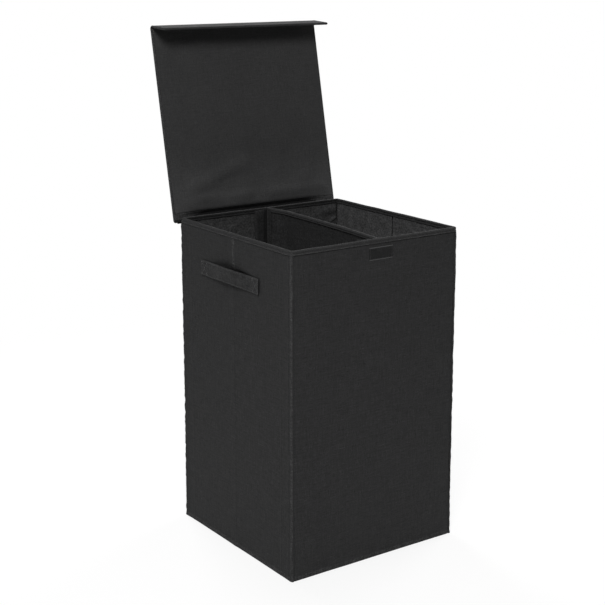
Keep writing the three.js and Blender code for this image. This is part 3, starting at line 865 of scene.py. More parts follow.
# Thin cushion-like panel: two height fields over one plan, meeting in a round edge.
def softPanel(name, halfX, halfY, bottom, top, uneven, seed, step):
    s = bottomSettings
    thick = (top - bottom) / 2
    xs = spread(-halfX, halfX, step, 4 * thick, thick / 3)
    ys = spread(-halfY, halfY, step, 4 * thick, thick / 3)
    x, y = np.meshgrid(xs, ys, indexing="ij")
    inset = np.minimum(halfX - np.abs(x), halfY - np.abs(y))
    edge = roundEdge(inset, thick)
    lift = uneven * (1 + ripples(x, y, s["unevenSize"], seed)) * easeIn(inset, 5, 50)
    x, y = roundCorners(x, y, -halfX, halfX, -halfY, halfY, s["corner"])
    middle = (top + bottom) / 2
    return twoSided(name, gridPoints(x, y, middle + thick * edge + lift),
                    gridPoints(x, y, middle - thick * edge))


def bottomPieces():  # both are soft panels, and the base's one is slightly uneven
    s = bottomSettings
    low, high = nodeBox("floor_cloth")
    hem = coverSettings["foldUnder"] + s["floorGap"]
    floor = softPanel("floorCloth", halfWidth - hem, halfDepth - hem, low[2] + 0.05, high[2], 0.0, 31, 12)
    settle(floor, "coverCloth", "cover_cloth", "body", "floor_cloth")
    low, high = nodeBox("base_cloth")
    base = softPanel("baseCloth", high[0] - s["baseGap"], high[1] - s["baseGap"], low[2] - 0.1, high[2],
                     s["baseUneven"], 32, 6)
    settle(base, "liningCloth", "lining_cloth", "body", "base_cloth")


bottomPieces()
print("floor and base made")


# Rim tape, folded over the top of the walls, with its row of stitches outside and inside

bindingSettings = {
    "cornerRadius": 3.6, "tape": 0.7,
    "hemRoll": 1.05, "hemAt": 1.0, "hemWidth": 3.2,                    # rolled hem
    "stitchFromHem": 3.4, "stitchDent": 0.8, "dentWidth": 2.6,         # drawn-in stitch line
    "bead": 0.5, "beadWidth": 4.5, "topBeat": 0.3, "knotSize": 9.0,    # thick, knotty ridge
    "beat": 0.12, "beatWidth": 5.0, "pucker": 0.2, "puckerSize": 26.0, "wave": 0.15, "waveSize": 60.0,
    # the next line's first key: strips of painted highlight at the hem and on each side of the ridge
    "highlightStrips": 2, "pitch": 3.4, "stitch": 2.5, "thread": 0.25, "sink": 0.5,
}
tackSettings = {  # each corner is sewn down with a few rows to and fro
    "reach": 6.0, "rows": (1.6, 3.2, 4.8, 6.4), "depth": 0.5,
    "pitch": 2.4, "stitch": 2.1, "thread": 0.34, "sink": 0.5,
}


# Tape folded over an edge: up one side, an oval top, and down the other side. Its hems
# roll a little, and its stitch line pulls in. Slow waves are taken round a circle, so that
# they meet where a closed tape ends.
def foldedTape(path, normals, length, halfThick, top, drop, s, seed, closed):
    legs = spread(0, drop - halfThick, 0.8)
    turn = np.linspace(0, math.pi, 13)[1:-1]
    offsets = np.concatenate([np.full(len(legs), 1.0), np.cos(turn), np.full(len(legs), -1.0)])
    levels = np.concatenate([legs - drop, (np.sin(turn) - 1) * halfThick, legs[::-1] - drop])
    stitchLevel = -drop + s["stitchFromHem"]
    hem = s["hemRoll"] * hump(levels, -drop + s["hemAt"], s["hemWidth"])
    hem -= s["stitchDent"] * hump(levels, stitchLevel, s["dentWidth"])
    hem += s["bead"] * hump(levels, -halfThick, s["beadWidth"])
    phase = length / length[-1] * math.tau
    circle = np.cos(phase) * 200, np.sin(phase) * 200
    pucker = s["pucker"] * ripples(*circle, s["puckerSize"], seed)[:, None] * easeIn(-levels, halfThick, drop)
    beat = s["beat"] * np.sin(length / s["pitch"] * math.tau)[:, None]
    beat = beat * hump(levels, stitchLevel, s["beatWidth"])
    knots = s["topBeat"] * ripples(*circle, s["knotSize"], seed + 2)[:, None] * hump(levels, -halfThick, 5)
    out = halfThick * offsets + np.sign(offsets) * (hem + pucker + beat + knots)
    lift = s["wave"] * ripples(*circle, s["waveSize"], seed + 1)[:, None] * (1 - easeIn(-levels, 0, drop))
    x, y = (path[:, None, k] + normals[:, None, k] * out for k in range(2))
    grid = gridPoints(x, y, top + levels + lift)
    return np.concatenate([grid, grid[:1]]) if closed else grid


# Stitches along one side of a tape at one level, as deep as its stitch line is drawn in.
def tapeStitches(name, path, normals, side, halfThick, level, s, body):
    at = path + normals * side * (halfThick - s["stitchDent"])
    row = np.concatenate([at, np.full((len(at), 1), level)], 1)
    up = np.concatenate([normals * side, np.zeros((len(at), 1))], 1)
    sew(name, row, up, s, "binding_tape", body)


# Rows of stitches to and fro along the places of the path that lie near a corner.
def cornerTack(name, corner, path, normals, halfThick):
    s = tackSettings
    near = np.where(np.linalg.norm(path - corner, axis=1) < s["reach"])[0]
    near = near if np.ptp(near) < len(path) / 2 else np.roll(near, -np.argmax(np.diff(near)) - 1)
    there = np.concatenate([path[near], normals[near]], 1)
    around = np.concatenate([there[::-1] if row % 2 else there for row in range(len(s["rows"]))])
    levels = np.repeat(rimTop - np.array(s["rows"]), len(near))[:, None]
    row = np.concatenate([around[:, :2] + around[:, 2:] * (halfThick - s["depth"]), levels], 1)
    up = np.concatenate([around[:, 2:], np.zeros((len(row), 1))], 1)
    sew(name, row, up, s, "binding_tape", "body")


def rimTape():  # a tape folded over a closed path along the middle of the walls' tops
    s = bindingSettings
    mid = wall / 2
    corners = [(-halfWidth + mid, -halfDepth + mid), (halfWidth - mid, -halfDepth + mid),
               (halfWidth - mid, halfDepth - mid), (-halfWidth + mid, halfDepth - mid)]
    path, normals, length = roundedPath(corners, s["cornerRadius"], 2.5, closed=True, arcSteps=8)
    halfThick = rimHigh[0] - halfWidth + mid
    grid = foldedTape(path, normals, length, halfThick, rimTop, rimTop - rimFoot, s, 41, True)
    piece = gridPiece("rimTape", grid, uvTurn=True)
    strip = np.arange(grid.shape[1] - 1)  # strips across the tape, from its hem outside
    top = grid.shape[1] // 2
    # painted highlight on the outer hem and the ridge; painted shade on the inner leg, darkest at the back
    highlighted = (strip < s["highlightStrips"]) | (np.abs(strip - top) < s["highlightStrips"] + 1)
    atBack = np.append(normals[:, 1], normals[0, 1])[:-1, None] > 0.7
    paint(piece, np.where(highlighted, 2, np.where(strip > top, np.where(atBack, 3, 1), 0)))
    weld = piece.modifiers.new("join ends", "WELD")
    weld.merge_threshold = 0.00001
    thicken(piece, s["tape"])
    settle(piece, ("bindingTape", "sleeveCloth", "ridgeHighlightCloth", "paintedShadeCloth"), "binding_tape", "body",
           "rim_binding")
    loop, turned = np.concatenate([path, path[:1]]), np.concatenate([normals, normals[:1]])
    for name, side in (("rimStitchesOutside", 1), ("rimStitchesInside", -1)):
        tapeStitches(name, loop, turned, side, halfThick, rimFoot + s["stitchFromHem"], s, "body")
    for k, corner in enumerate(corners):
        cornerTack(f"rimTack{k}", corner, path, normals, halfThick)


rimTape()
print("rim tape made")


# Carrying straps: two cloth layers sewn flat, with a boxed cross of stitches at each end

strapSettings = {
    # the line's last key: width of the painted highlight along each edge
    "thick": 2.3, "edgeGroove": 2.6, "grooveDepth": 0.35, "grooveWidth": 2.2, "puff": 0.2, "highlightEdge": 1.9,
    "tab": 24.0,                                        # sewn length at each end
    "gap": 0.25, "nearLift": 1.5, "farLift": 0.5, "liftWidth": 14.0,
    "bow": 8.2, "lean": 0.14, "arch": 3.4, "unevenness": 0.15, "unevenSize": 22.0,
    "pitch": 3.2, "stitch": 2.7, "thread": 0.36, "sink": 0.4, "boxInset": 3.2, "threadDepth": 0.18,
}


# Strap: a flat ring with round edges at each place along it. A squared cosine between the
# sewn ends makes its middle bow out, lean and arch up.
def makeStrap(side, name, node, seed):
    s = strapSettings
    low, high = nodeBox(node)
    half = (high[1] - low[1]) / 2
    centreY, centreZ = (high[1] + low[1]) / 2, (high[2] + low[2]) / 2
    width = high[2] - low[2]
    free = half - s["tab"]
    face = halfWidth + skinGap

    def slack(t):  # 0 at the sewn ends and 1 in the middle
        return np.cos(np.clip(t / free, -1, 1) * math.pi / 2) ** 2

    def standOff(t):  # gap behind the strap: its bow in the middle, and its ends lift a little
        ends = s["nearLift"] * hump(t, -half, s["liftWidth"]) + s["farLift"] * hump(t, half, s["liftWidth"])
        return s["gap"] + s["bow"] * slack(t) + ends

    def arch(t):  # the slack middle stands a little higher
        return s["arch"] * slack(t)

    t = spread(-half, half, 2.5, 6, 0.7)
    r = s["thick"] / 2
    turn = np.linspace(math.pi / 2, -math.pi / 2, 7)
    flat = np.linspace(-width / 2 + r, width / 2 - r, 31)[1:-1]
    rounded = width / 2 - r + r * np.cos(turn)
    w = np.concatenate([flat, rounded, flat[::-1], -rounded])
    out = np.concatenate([np.full(len(flat), r), r * np.sin(turn), np.full(len(flat), -r), -r * np.sin(turn)])
    groove = -s["grooveDepth"] * hump(np.abs(w), width / 2 - s["edgeGroove"], s["grooveWidth"])
    relief = out + (groove + s["puff"] * hump(w, 0, width)) * np.sign(out)
    close = np.clip(roundEdge(half - np.abs(t), r), 0.15, 1)
    uneven = ripples(t[:, None], w[None, :], s["unevenSize"], seed) * easeIn(free - np.abs(t), 0, 20)[:, None]
    depth = standOff(t)[:, None] + r + relief * close[:, None] + s["unevenness"] * uneven
    depth += s["lean"] * slack(t)[:, None] * w[None, :]
    grid = gridPoints(side * (face + depth), centreY + t[:, None], centreZ + w[None, :] + arch(t)[:, None])
    piece = gridPiece(name, grid, rings=True, flip=side > 0)
    # painted highlight along the strap's outer edges; painted shade on its back, its very ends and its end
    # caps
    outside = (out > -r * 0.3) & (np.roll(out, -1) > -r * 0.3)
    highlighted = np.abs(w + np.roll(w, -1)) / 2 > width / 2 - s["highlightEdge"]
    parts = np.tile(np.where(outside, np.where(highlighted, 2, 0), 1), (len(t) - 1, 1))
    parts[[0, -1]] = 1
    paint(piece, np.append(parts.ravel(), [1, 1]))  # its last two faces are the end caps
    settle(piece, ("strapCloth", "paintedShadeCloth", "paintedHighlightCloth"), "strap_cloth", "body", node)

    edge = width / 2 - s["edgeGroove"]
    rows = [np.linspace((-half + 2, level), (half - 2, level), 90) for level in (-edge, edge)]
    for end in (-1, 1):
        outer, inner = end * (half - s["boxInset"]), end * (half - s["tab"] + 2)
        box = [(outer, -edge), (outer, edge), (inner, edge), (inner, -edge)]
        rows += [np.linspace(box[a], box[b], 24) for a, b in ((0, 1), (1, 3), (3, 2), (2, 0))]
    for k, (a, b) in enumerate(row.T for row in rows):
        x = side * (face + standOff(a) + s["lean"] * slack(a) * b + s["thick"] - s["threadDepth"])
        places = np.stack([x, centreY + a, centreZ + b + arch(a)], -1)
        up = np.tile([side, 0.0, 0.0], (len(places), 1))
        finish = "sewing thread" if k < 2 else "thread of the straps' ends"
        sew(f"{name}Stitches{k}", places, up, s, "strap_cloth", "body", finish)


makeStrap(-1, "leftStrap", "strap_left", 51)
makeStrap(1, "rightStrap", "strap_right", 52)
print("straps made")


# Bare patch at the top of the front

patchSettings = {
    "thick": 0.45, "edging": 1.5, "inset": 2.0, "dent": 0.3, "dentWidth": 1.6, "unevenness": 0.15,
    "unevenSize": 16.0, "pitch": 2.6, "stitch": 2.0, "thread": 0.24, "sink": 0.4, "threadDepth": 0.15,
}


def makePatch():  # a thin panel with a round edge, drawn in along its stitch line
    s = patchSettings
    low, high = nodeBox("label_patch")
    halfX, halfZ = (high[0] - low[0]) / 2, (high[2] - low[2]) / 2
    centre = (high + low) / 2
    xs, zs = spread(-halfX, halfX, 1.5, 3, 0.3), spread(-halfZ, halfZ, 1.5, 3, 0.3)
    x, z = np.meshgrid(xs, zs, indexing="ij")
    inset = np.minimum(halfX - np.abs(x), halfZ - np.abs(z))
    edge = roundEdge(inset, s["thick"])
    uneven = s["unevenness"] * ripples(x, z, s["unevenSize"], 61) * easeIn(inset, 2, 6)
    relief = s["dent"] * hump(inset, s["inset"], s["dentWidth"]) - uneven
    back = -halfDepth - skinGap
    upper = gridPoints(centre[0] + x, back - s["thick"] * (1 + edge) + relief * edge, centre[2] + z)
    lower = gridPoints(centre[0] + x, back - s["thick"] * (1 - edge), centre[2] + z)
    piece = twoSided("patch", upper, lower)
    paint(piece, np.tile(halfZ - np.abs(zs[:-1] + zs[1:]) / 2 < s["edging"], 2 * (len(xs) - 1)))
    settle(piece, ("patchCloth", "patch edging"), "binding_tape", "body", "label_patch")
    a, b = halfX - s["inset"], halfZ - s["inset"]
    loop = np.array([(-a, -b), (a, -b), (a, b), (-a, b), (-a, -b)])
    row = np.concatenate([np.linspace(loop[k], loop[k + 1], 30)[:-1] for k in range(4)])
    sewn = back - 2 * s["thick"] + s["threadDepth"]
    places = gridPoints(centre[0] + row[:, 0], sewn, centre[2] + row[:, 1])
    sew("patchStitches", places, np.tile([0.0, -1.0, 0.0], (len(places), 1)), s, "binding_tape", "body")


makePatch()
print("patch made")


# Divider: a sleeve over its board, tape on its top edge, and a flap at each end

dividerSettings = {
    "frontRight": 6.5, "backRight": 12.5, "bow": 11.0, "bowBack": 0.35,
    "kink": 3.5, "kinkAt": 138.0, "kinkWidth": 90.0, "kinkHeight": 240.0,
    "thick": 4.6, "board": 2.2, "endRound": 2.3, "unevenness": 0.4, "unevenSize": 60.0,
    "drop": 8.0, "stitchFromHem": 2.0, "tapeOver": 1.5, "tapeLow": 0.5,
}
sleeveLow, sleeveHigh = nodeBox("divider_sleeve")
dividerHalf = sleeveHigh[1]


# Sideways place of the divider: a parabola each way from its fullest place, over the line
# between its ends, and a kink towards the back that fades away below the rim.
def dividerLine(y, z):
    s = dividerSettings
    share = y / dividerHalf
    reach = np.where(share < s["bowBack"], 1 + s["bowBack"], 1 - s["bowBack"])
    bow = s["bow"] * (1 - ((share - s["bowBack"]) / reach) ** 2)
    chord = s["frontRight"] + (s["backRight"] - s["frontRight"]) * (share + 1) / 2
    kink = s["kink"] * hump(y, s["kinkAt"], s["kinkWidth"])
    return chord + bow + kink * easeIn(z, rimTop - s["kinkHeight"], rimTop)


def dividerBoard():  # a slab moved sideways by the divider's line
    s = dividerSettings

    def place(y, z, offset):
        return gridPoints(dividerLine(y, z) + offset * s["board"] / 2, y, z)

    end = dividerHalf - 2.5
    piece = slab("dividerBoard", spread(-end, end, 6), spread(sleeveLow[2] + 2, rimTop - 2.5, 20), place)
    settle(piece, "grey board", "board", "divider", "divider_board")


# Cloth round the board, drawn together at both ends: one ring for each place along it.
def dividerSleeve():
    s = dividerSettings
    half = s["thick"] / 2
    y = spread(-dividerHalf, dividerHalf, 5.0, 6, 0.6)
    up = spread(sleeveLow[2] + half, rimTop - 1.2 - half, 5.0, 10, 2)
    turn = np.linspace(0, math.pi, 9)[1:-1]
    z = np.concatenate([up, up[-1] + half * np.sin(turn) * 0.4, up[::-1], up[0] - half * np.sin(turn)])
    side = np.concatenate([np.full(len(up), 1.0), np.cos(turn), np.full(len(up), -1.0), -np.cos(turn)])
    close = np.clip(roundEdge(dividerHalf - np.abs(y), s["endRound"]), 0.2, 1)
    puff = s["unevenness"] * ripples(y[:, None], z[None, :] + 300 * side[None, :], s["unevenSize"], 71)
    hold = easeIn(dividerHalf - np.abs(y), 4, 30)[:, None] * (1 - easeIn(z, rimTop - 25, rimTop - 8))[None, :]
    out = half * close[:, None] + np.clip(puff, -0.6, 1.2) * hold
    x = dividerLine(y[:, None], z[None, :]) + side[None, :] * out
    piece = gridPiece("dividerSleeve", gridPoints(x, y[:, None], z[None, :]), rings=True, flip=True)
    settle(piece, "sleeveCloth", "lining_cloth", "divider", "divider_sleeve")


def dividerTape():  # a tape folded over the divider's line at the rim
    s = dict(bindingSettings, stitchFromHem=dividerSettings["stitchFromHem"])
    drop = dividerSettings["drop"]
    y = np.linspace(-dividerHalf + 0.2, dividerHalf - 0.2, 150)
    path = np.stack([dividerLine(y, np.full_like(y, rimTop)), y], -1)
    slope = np.gradient(path, axis=0)
    slope /= np.linalg.norm(slope, axis=1)[:, None]
    normals = np.stack([slope[:, 1], -slope[:, 0]], -1)
    halfThick = dividerSettings["thick"] / 2 + dividerSettings["tapeOver"]
    top = rimTop - dividerSettings["tapeLow"]
    grid = foldedTape(path, normals, runningLength(path), halfThick, top, drop, s, 73, False)
    piece = gridPiece("dividerTape", grid, uvTurn=True)
    # painted highlight along the tape's ridge
    highlighted = np.abs(np.arange(grid.shape[1] - 1) - grid.shape[1] // 2) < s["highlightStrips"] + 1
    paint(piece, np.tile(highlighted, len(grid) - 1))
    thicken(piece, s["tape"])
    settle(piece, ("bindingTape", "ridgeHighlightCloth"), "binding_tape", "divider", "divider_binding")
    for name, side in (("dividerStitchesRight", 1), ("dividerStitchesLeft", -1)):
        tapeStitches(name, path, normals, side, halfThick, top - drop + s["stitchFromHem"], s, "divider")


flapSettings = {
    "bend": 3.5, "onDivider": 10.0, "dark": 11.0, "cloth": 0.7, "lift": 9.0, "hem": 3.2, "longer": 4.0,
    "sway": 1.0, "swaySize": 140.0, "wave": 0.5, "waveSize": 85.0, "fine": 0.15, "fineSize": 24.0,
    "topCurl": 1.4,
}


# Flap: from the divider's left face round a bend onto the wall, and off it again to a free
# hem, which is rolled.
def dividerFlap(side, name, node, seed):
    s = flapSettings
    low, high = nodeBox(node)
    lay = abs(low[1] if side > 0 else high[1]) - 0.1
    end = dividerSettings["backRight" if side > 0 else "frontRight"]
    join = end - dividerSettings["thick"] / 2 - 0.6
    off = lay - s["lift"]
    hem = low[0] - s["longer"]
    corners = [(join + 0.8, lay - s["onDivider"]), (join, lay), (hem + 4.0, off), (hem, off + 0.3),
               (hem + 0.5, off + s["hem"]), (hem + 4.0, off + s["hem"] - 0.6)]
    path, normals, length = roundedPath(corners, (0, s["bend"], 1.2, 0.9, 0.9, 0), 2.0, arcSteps=5)
    z = spread(low[2], high[2], 5.0, 8, 1.5)[None, :]
    free = (length / length[-1])[:, None]
    loose = easeIn(free, 0.5, 1)
    wave = s["wave"] * np.abs(ripples(0 * z, z, s["waveSize"], seed)) * loose
    fine = s["fine"] * (1.5 + ripples(length[:, None], z, s["fineSize"], seed + 1)) * easeIn(free, 0.35, 0.5)
    sway = s["sway"] * ripples(0 * z, z, s["swaySize"], seed + 2) * loose
    curl = s["topCurl"] * easeIn(z, rimFoot - 14, rimFoot + 1) * easeIn(free, 0.3, 0.5)
    grid = gridPoints(path[:, None, 0] + sway, side * (path[:, None, 1] - wave - fine - curl), z)
    piece = gridPiece(name, grid, flip=side < 0)
    # painted shade: the bend beside the divider in the shade cloth, the rest of the flap in the darker sleeve
    # cloth
    inBend = np.abs(length[:-1] - s["onDivider"] - s["dark"] / 2) < s["dark"] / 2
    paint(piece, np.repeat(inBend, z.size - 1))
    thicken(piece, s["cloth"])
    settle(piece, ("sleeveCloth", "paintedShadeCloth"), "lining_cloth", "divider", node)


dividerBoard()
dividerSleeve()
dividerTape()
dividerFlap(1, "dividerFlapBack", "divider_flap_back", 81)
dividerFlap(-1, "dividerFlapFront", "divider_flap_front", 84)
print("divider made")


# Lid and lip: one cloth bent at the fold, with linings let into its inner face. Below its
# board the lid is cloth alone, thinner and slack, down to the hinge.

lidSettings = {
    "hinge": (194.5, 610.0), "turnDegrees": -101.5, "inner": 12.5, "back": -0.675, "front": -386.5,
    "thick": 4.1, "lip": 52.0, "tuckDegrees": 15.0, "overhang": 6.0, "border": 4.5, "recess": 0.75,
    "foldRadius": 2.4, "foldDark": 5.5, "foldBlend": 2.5, "corner": 5.0, "unevenness": 0.35,
    "unevenSize": 110.0, "hemRise": 0.3, "hemWidth": 3.8, "edgePucker": 0.22, "puckerSize": 10.0,
    "boardInset": 4.5, "boardFromFold": 3.2, "boardHalf": 0.95,
    "softEnd": 23.0,      # length of the slack cloth between the hinge and the board
    "softRecess": 2.6,
    "softSlack": 8.5,
    "liningFromFold": 5.8, "liningThick": 0.4, "liningGap": 0.1,
    "stitchInset": 3.4, "pitch": 3.6, "stitch": 2.6, "thread": 0.22, "sink": 0.5,
}


# Turns the lid's own frame, where it lies closed round the hinge line, to the open lid.
def lidToWorld(y, z):
    s = lidSettings
    turn = math.radians(s["turnDegrees"])
    return (s["hinge"][0] + y * math.cos(turn) - z * math.sin(turn),
            s["hinge"][1] + y * math.sin(turn) + z * math.cos(turn))


# Middle line of the lid from its back edge to the fold and down the lip, in the lid's frame.
def lidPath():
    s = lidSettings
    half = s["thick"] / 2
    tuck = math.radians(s["tuckDegrees"])
    lipWay = np.array([math.sin(tuck), -math.cos(tuck)])
    lipOut = np.array([-math.cos(tuck), -math.sin(tuck)])
    pivot = np.array([s["front"], s["inner"]])
    corner = pivot + np.array([(half - lipOut[1] * half) / lipOut[0], half])
    start = np.array([s["back"], s["inner"] + half])
    end = pivot + lipOut * half + lipWay * s["lip"]
    return roundedPath([start, corner, end], s["foldRadius"] + half, 5.0, arcSteps=10)


lidHalf = halfWidth + lidSettings["overhang"]
lidLine, lidNormal, lidLength = lidPath()
lidTotal = lidLength[-1]
foldAt = lidLength[np.argmin(np.abs(lidLine[:, 0] - lidLine[:, 0].min()))]


def onLid(x, t, offset):  # points at widths x and lengths t, an offset out of the middle line
    y, z, ny, nz = (np.interp(t, lidLength, line[:, k]) for line in (lidLine, lidNormal) for k in range(2))
    return gridPoints(x, *lidToWorld(y + ny * offset, z + nz * offset))


def softSlack(x, t):  # how far the cloth below the board hangs back, most in the middle
    s = lidSettings
    rise = easeIn(t, -6, 4) * (1 - easeIn(t, s["softEnd"] - 13, s["softEnd"] + 2))
    return s["softSlack"] * rise * easeIn(lidHalf - np.abs(x), 8, 75)


def softHollow(x, t):  # how much its inner face lies back where there is no board
    s = lidSettings
    deep = 1 - roundEdge(np.clip(t - s["softEnd"] + 8, 0, None), 8)
    return s["softRecess"] * deep * easeIn(lidHalf - np.abs(x), 10, 60)


# Works out a direction across the fold, square to the line that halves its bend, which is not
# used, and bakes the piece's transform into its mesh.
def blendFold(piece):
    s = lidSettings
    lean = math.radians(90 + s["turnDegrees"])
    slope = math.radians(90 + s["turnDegrees"] + s["tuckDegrees"])
    across = np.array([0, -math.cos(slope) - math.sin(lean), -math.sin(slope) + math.cos(lean)])
    across *= s["foldBlend"] / np.linalg.norm(across)
    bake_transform(piece)


# Cover of the lid and lip: an outer and an inner face, each an offset out of the middle
# line, that meet in a round edge. The inner one is let in where the linings lie, and both
# hang back below the board.
def makeLid():
    s = lidSettings
    half, border, soft = s["thick"] / 2, s["border"], s["softEnd"]
    steps = np.array([0, 0.3, 0.7, 1.2, 2.05, 2.8, border - 1.0, border - 0.3, border + 0.3, border + 1.2,
                      border + 4])
    across = spread(-lidHalf + 14, lidHalf - 14, 6.0)
    xs = np.unique(np.concatenate([-lidHalf + steps, across, lidHalf - steps]))
    fold = lidLength[(lidLength > foldAt - 14) & (lidLength < foldAt + 14)]
    at = np.concatenate([steps[:6], np.arange(5, soft + 7, 1.0), spread(soft + 9, foldAt - 14, 6.0), fold,
                         spread(foldAt + 14, lidTotal - 14, 4.0), lidTotal - steps])
    at = np.unique(at.round(4))
    x, t = np.meshgrid(xs, at, indexing="ij")
    fromSide, fromFold = lidHalf - np.abs(x), np.abs(t - foldAt)
    inset = np.minimum(fromSide, np.minimum(t, lidTotal - t))
    edge = roundEdge(inset, half)
    calm = easeIn(inset, 4, 40) * easeIn(fromFold, 4, 25)
    uneven = s["unevenness"] * ripples(x, t, s["unevenSize"], 91) * calm
    edged = np.maximum(easeIn(t, soft, soft + 3), 1 - easeIn(fromSide, 10, 25))
    gathers = (0.35 + 0.65 * (1 - easeIn(t, 50, 170))) * easeIn(fromFold, 6, 20)
    hem = s["hemRise"] * hump(inset, 2.4, s["hemWidth"]) * edged
    hem += s["edgePucker"] * ripples(x, t, s["puckerSize"], 92) * hump(inset, 3, 6) * edged * gathers
    window = easeIn(np.minimum(fromSide, lidTotal - t), border - 0.5, border + 0.5)
    window *= easeIn(fromFold, 4, 5.5) * easeIn(t, soft - 6, soft - 4)
    slack = softSlack(x, t)
    inward = (half + hem * (1 - window)) * edge - s["recess"] * window - softHollow(x, t) * edge
    plan = roundCorners(x, t, -lidHalf, lidHalf, 0, lidTotal, s["corner"])
    piece = twoSided("lidCover", onLid(*plan, (half + hem) * edge + uneven + slack),
                     onLid(*plan, slack - inward))
    middles = (at[None, :-1] + at[None, 1:]) / 2
    # painted shade on the slack cloth just above the hinge and along the fold; painted light on the inner
    # border and the rest of the slack cloth
    shaded = at[None, :-1] < 6 + (soft - 9) * easeIn(lidHalf - np.abs(xs[:-1, None]), 18, 95)
    shaded = shaded | (np.abs(middles - foldAt) < s["foldDark"])
    onBorder = lidHalf - np.abs(xs[:-1, None] + xs[1:, None]) / 2 < border
    parts = np.where(shaded, 1, np.where(onBorder | (at[None, :-1] < soft), 2, 0))
    paint(piece, np.append(0 * parts, parts))
    settle(piece, ("coverCloth", "paintedShadeCloth", "paintedHighlightCloth"), "cover_cloth", None, "lid_cover", "lip_cover")
    blendFold(piece)


def panelBoard(name, node, body, low, high):  # a slab along the lid's middle line
    s = lidSettings
    half = lidHalf - s["boardInset"]
    piece = slab(name, spread(-half, half, 30), spread(low, high, 30),
                 lambda x, t, offset: onLid(x, t, offset * s["boardHalf"]))
    settle(piece, "grey board", "board", body, node)


waveSettings = {
    "loose": 1.2, "looseSize": 85.0,                                        # all over
    "fold": 3.2, "foldAt": 66.0, "foldX": -146.0, "foldSlope": 0.3, "foldWidth": 50.0,
    "low": 3.0, "lowAt": 34.0, "lowWidth": 46.0,
    "dividerX": 14.0, "dividerWidth": 70.0, "dividerCalms": 0.75,
}


# Slow waves over the lid's lining, looser towards the hinge, one slanting fold low on its
# left, and a roll under it. They are calmer where the divider's top meets the closed lid.
def lidWaves(x, t):
    s = waveSettings
    loose = s["loose"] * (0.35 + 0.65 * (1 - easeIn(t, 30, 190)))
    loose = loose * (1 + 0.8 * ripples(x, t, s["looseSize"], 93))
    fold = s["fold"] * hump(t, s["foldAt"] + s["foldSlope"] * (x - s["foldX"]), s["foldWidth"])
    fold = fold * easeIn(x, -190, -135) * (1 - easeIn(x, -60, 40))
    low = s["low"] * hump(t, s["lowAt"], s["lowWidth"]) * easeIn(x, -185, -130)
    return (loose + fold + low) * (1 - s["dividerCalms"] * hump(x, s["dividerX"], s["dividerWidth"]))


def lipWaves(x, t):  # slight waves over the lip's lining
    return 0.15 * (1 + ripples(x, t, 60, 97))


# Lining let into the border: thin, with a soft face.
def panelLining(name, node, body, low, high, waves, cloth):
    s = lidSettings
    thick = s["liningThick"]
    halfX = lidHalf - s["border"] - 0.2
    xs, at = spread(-halfX, halfX, 4.0, 3, 0.4), spread(low, high, 4.0, 3, 0.4)
    x, t = np.meshgrid(xs, at, indexing="ij")
    inset = np.minimum(halfX - np.abs(x), np.minimum(t - low, high - t))
    edge = roundEdge(inset, thick)
    base = softHollow(x, t) + softSlack(x, t) - (s["thick"] / 2 - s["recess"]) - s["liningGap"] - thick
    swell = np.clip(waves(x, t), 0, None) * easeIn(inset, 1, 30)
    piece = twoSided(name, onLid(x, t, base + thick * edge), onLid(x, t, base - thick * edge - swell))
    settle(piece, cloth, "lining_cloth", body, node)


def lidStitches():  # rows inside the edges of the lid and the lip, on both faces
    s = lidSettings
    half, inset = s["thick"] / 2, s["stitchInset"]
    edge = lidHalf - inset
    parts = (("Lid", "lid", foldAt - 7, s["softEnd"] + 3.5, ((0, 1), (2, 3))),
             ("Lip", "lip", foldAt + 7, lidTotal - inset, ((0, 1), (1, 2), (2, 3))))
    for name, side in (("lidStitchesOutside", 1), ("lidStitchesInside", -1)):
        for part, body, near, far, runs in parts:
            loop = [(-edge, near), (-edge, far), (edge, far), (edge, near)]
            for a, b in runs:
                row = np.linspace(loop[a], loop[b], 90)
                places = onLid(row[:, 0], row[:, 1], np.full(len(row), side * (half + 0.1)))
                up = onLid(row[:, 0], row[:, 1], np.full(len(row), side * (half + 1.1))) - places
                sew(f"{name}{part}{a}", places, up, s, "cover_cloth", body)


hingeSettings = {"cloth": 0.7, "faceGap": 0.5, "upLid": 15.0, "blend": 2.5, "unevenness": 0.2,
                 "unevenSize": 35.0, "sag": 0.9}


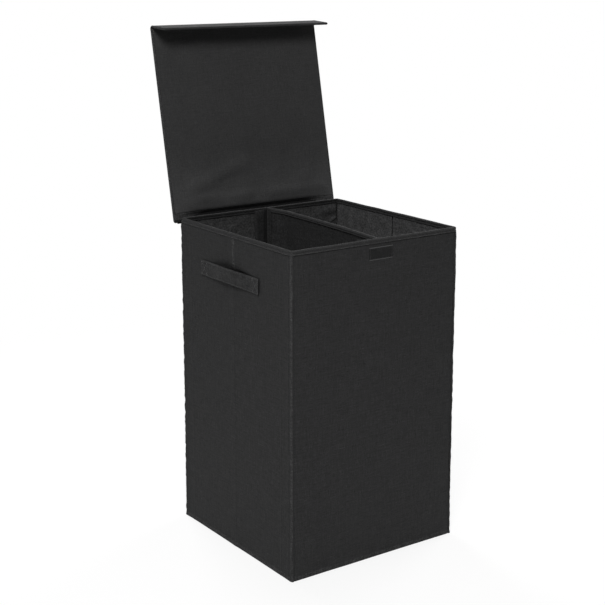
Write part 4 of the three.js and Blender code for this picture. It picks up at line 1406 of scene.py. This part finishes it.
# Cloth from the back wall out under the lid's back edge and a little way up its outside,
# where it follows the lid's slack.
def hingeCloth():
    s, lid = hingeSettings, lidSettings
    bandLow, bandHigh = nodeBox("hinge_band")
    halfX = bandHigh[0]
    face = halfDepth + s["faceGap"]
    outerFace = lid["inner"] + lid["thick"] + s["cloth"]
    hingeY, hingeZ = lid["hinge"]
    corners = [(face, bandLow[2]), (face + 0.1, hingeZ + 0.4), lidToWorld(0.9, outerFace - 1.5),
               lidToWorld(-s["upLid"], outerFace)]
    path, normals, length = roundedPath(corners, (0, 1.6, 2.0, 0), 1.2, arcSteps=8)
    xs = spread(-halfX, halfX, 5.0, 8, 1.5)[:, None]
    turn = math.radians(lid["turnDegrees"])
    dy, dz = path[:, 0] - hingeY, path[:, 1] - hingeZ
    upLid = lid["back"] - (dy * math.cos(turn) + dz * math.sin(turn))
    onOutside = easeIn(-dy * math.sin(turn) + dz * math.cos(turn), lid["inner"], outerFace)
    slack = softSlack(xs, np.clip(upLid, 0, None)[None, :]) * onOutside
    whole = length[-1]
    out = s["unevenness"] * ripples(xs, length[None, :], s["unevenSize"], 95) * hump(length, whole / 2, whole)
    out -= s["sag"] * hump(length, whole * 0.55, whole * 0.4)
    y = path[None, :, 0] + normals[None, :, 0] * out - slack * math.sin(turn)
    z = path[None, :, 1] + normals[None, :, 1] * out + slack * math.cos(turn)
    piece = thicken(gridPiece("hingeCloth", gridPoints(xs, y, z)), s["cloth"])
    settle(piece, "coverCloth", "cover_cloth", None, "hinge_band", "hinge_flap")
    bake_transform(piece)


def makeLidPieces():  # boards and linings end short of the fold and of the lip's edge
    s = lidSettings
    makeLid()
    panelBoard("lidBoard", "lid_board", "lid", s["softEnd"] + 1, foldAt - s["boardFromFold"])
    panelBoard("lipBoard", "lip_board", "lip", foldAt + s["boardFromFold"], lidTotal - s["boardInset"])
    panelLining("lidLining", "lid_lining", "lid", s["softEnd"] - 4, foldAt - s["liningFromFold"], lidWaves,
                "panelCloth")
    panelLining("lipLining", "lip_lining", "lip", foldAt + s["liningFromFold"], lidTotal - s["border"] - 0.2,
                lipWaves, "coverCloth")
    lidStitches()
    hingeCloth()


makeLidPieces()
print("lid made")


# The base's board and the fastener tapes keep the frame's own shapes

for node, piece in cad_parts.items():
    finish = "grey board" if node == "base_board" else "hook and loop tape" if "strip" in node else None
    if finish:
        piece.data.materials.clear()
        piece.data.materials.append(finishes[finish])
print("base board and fasteners finished")
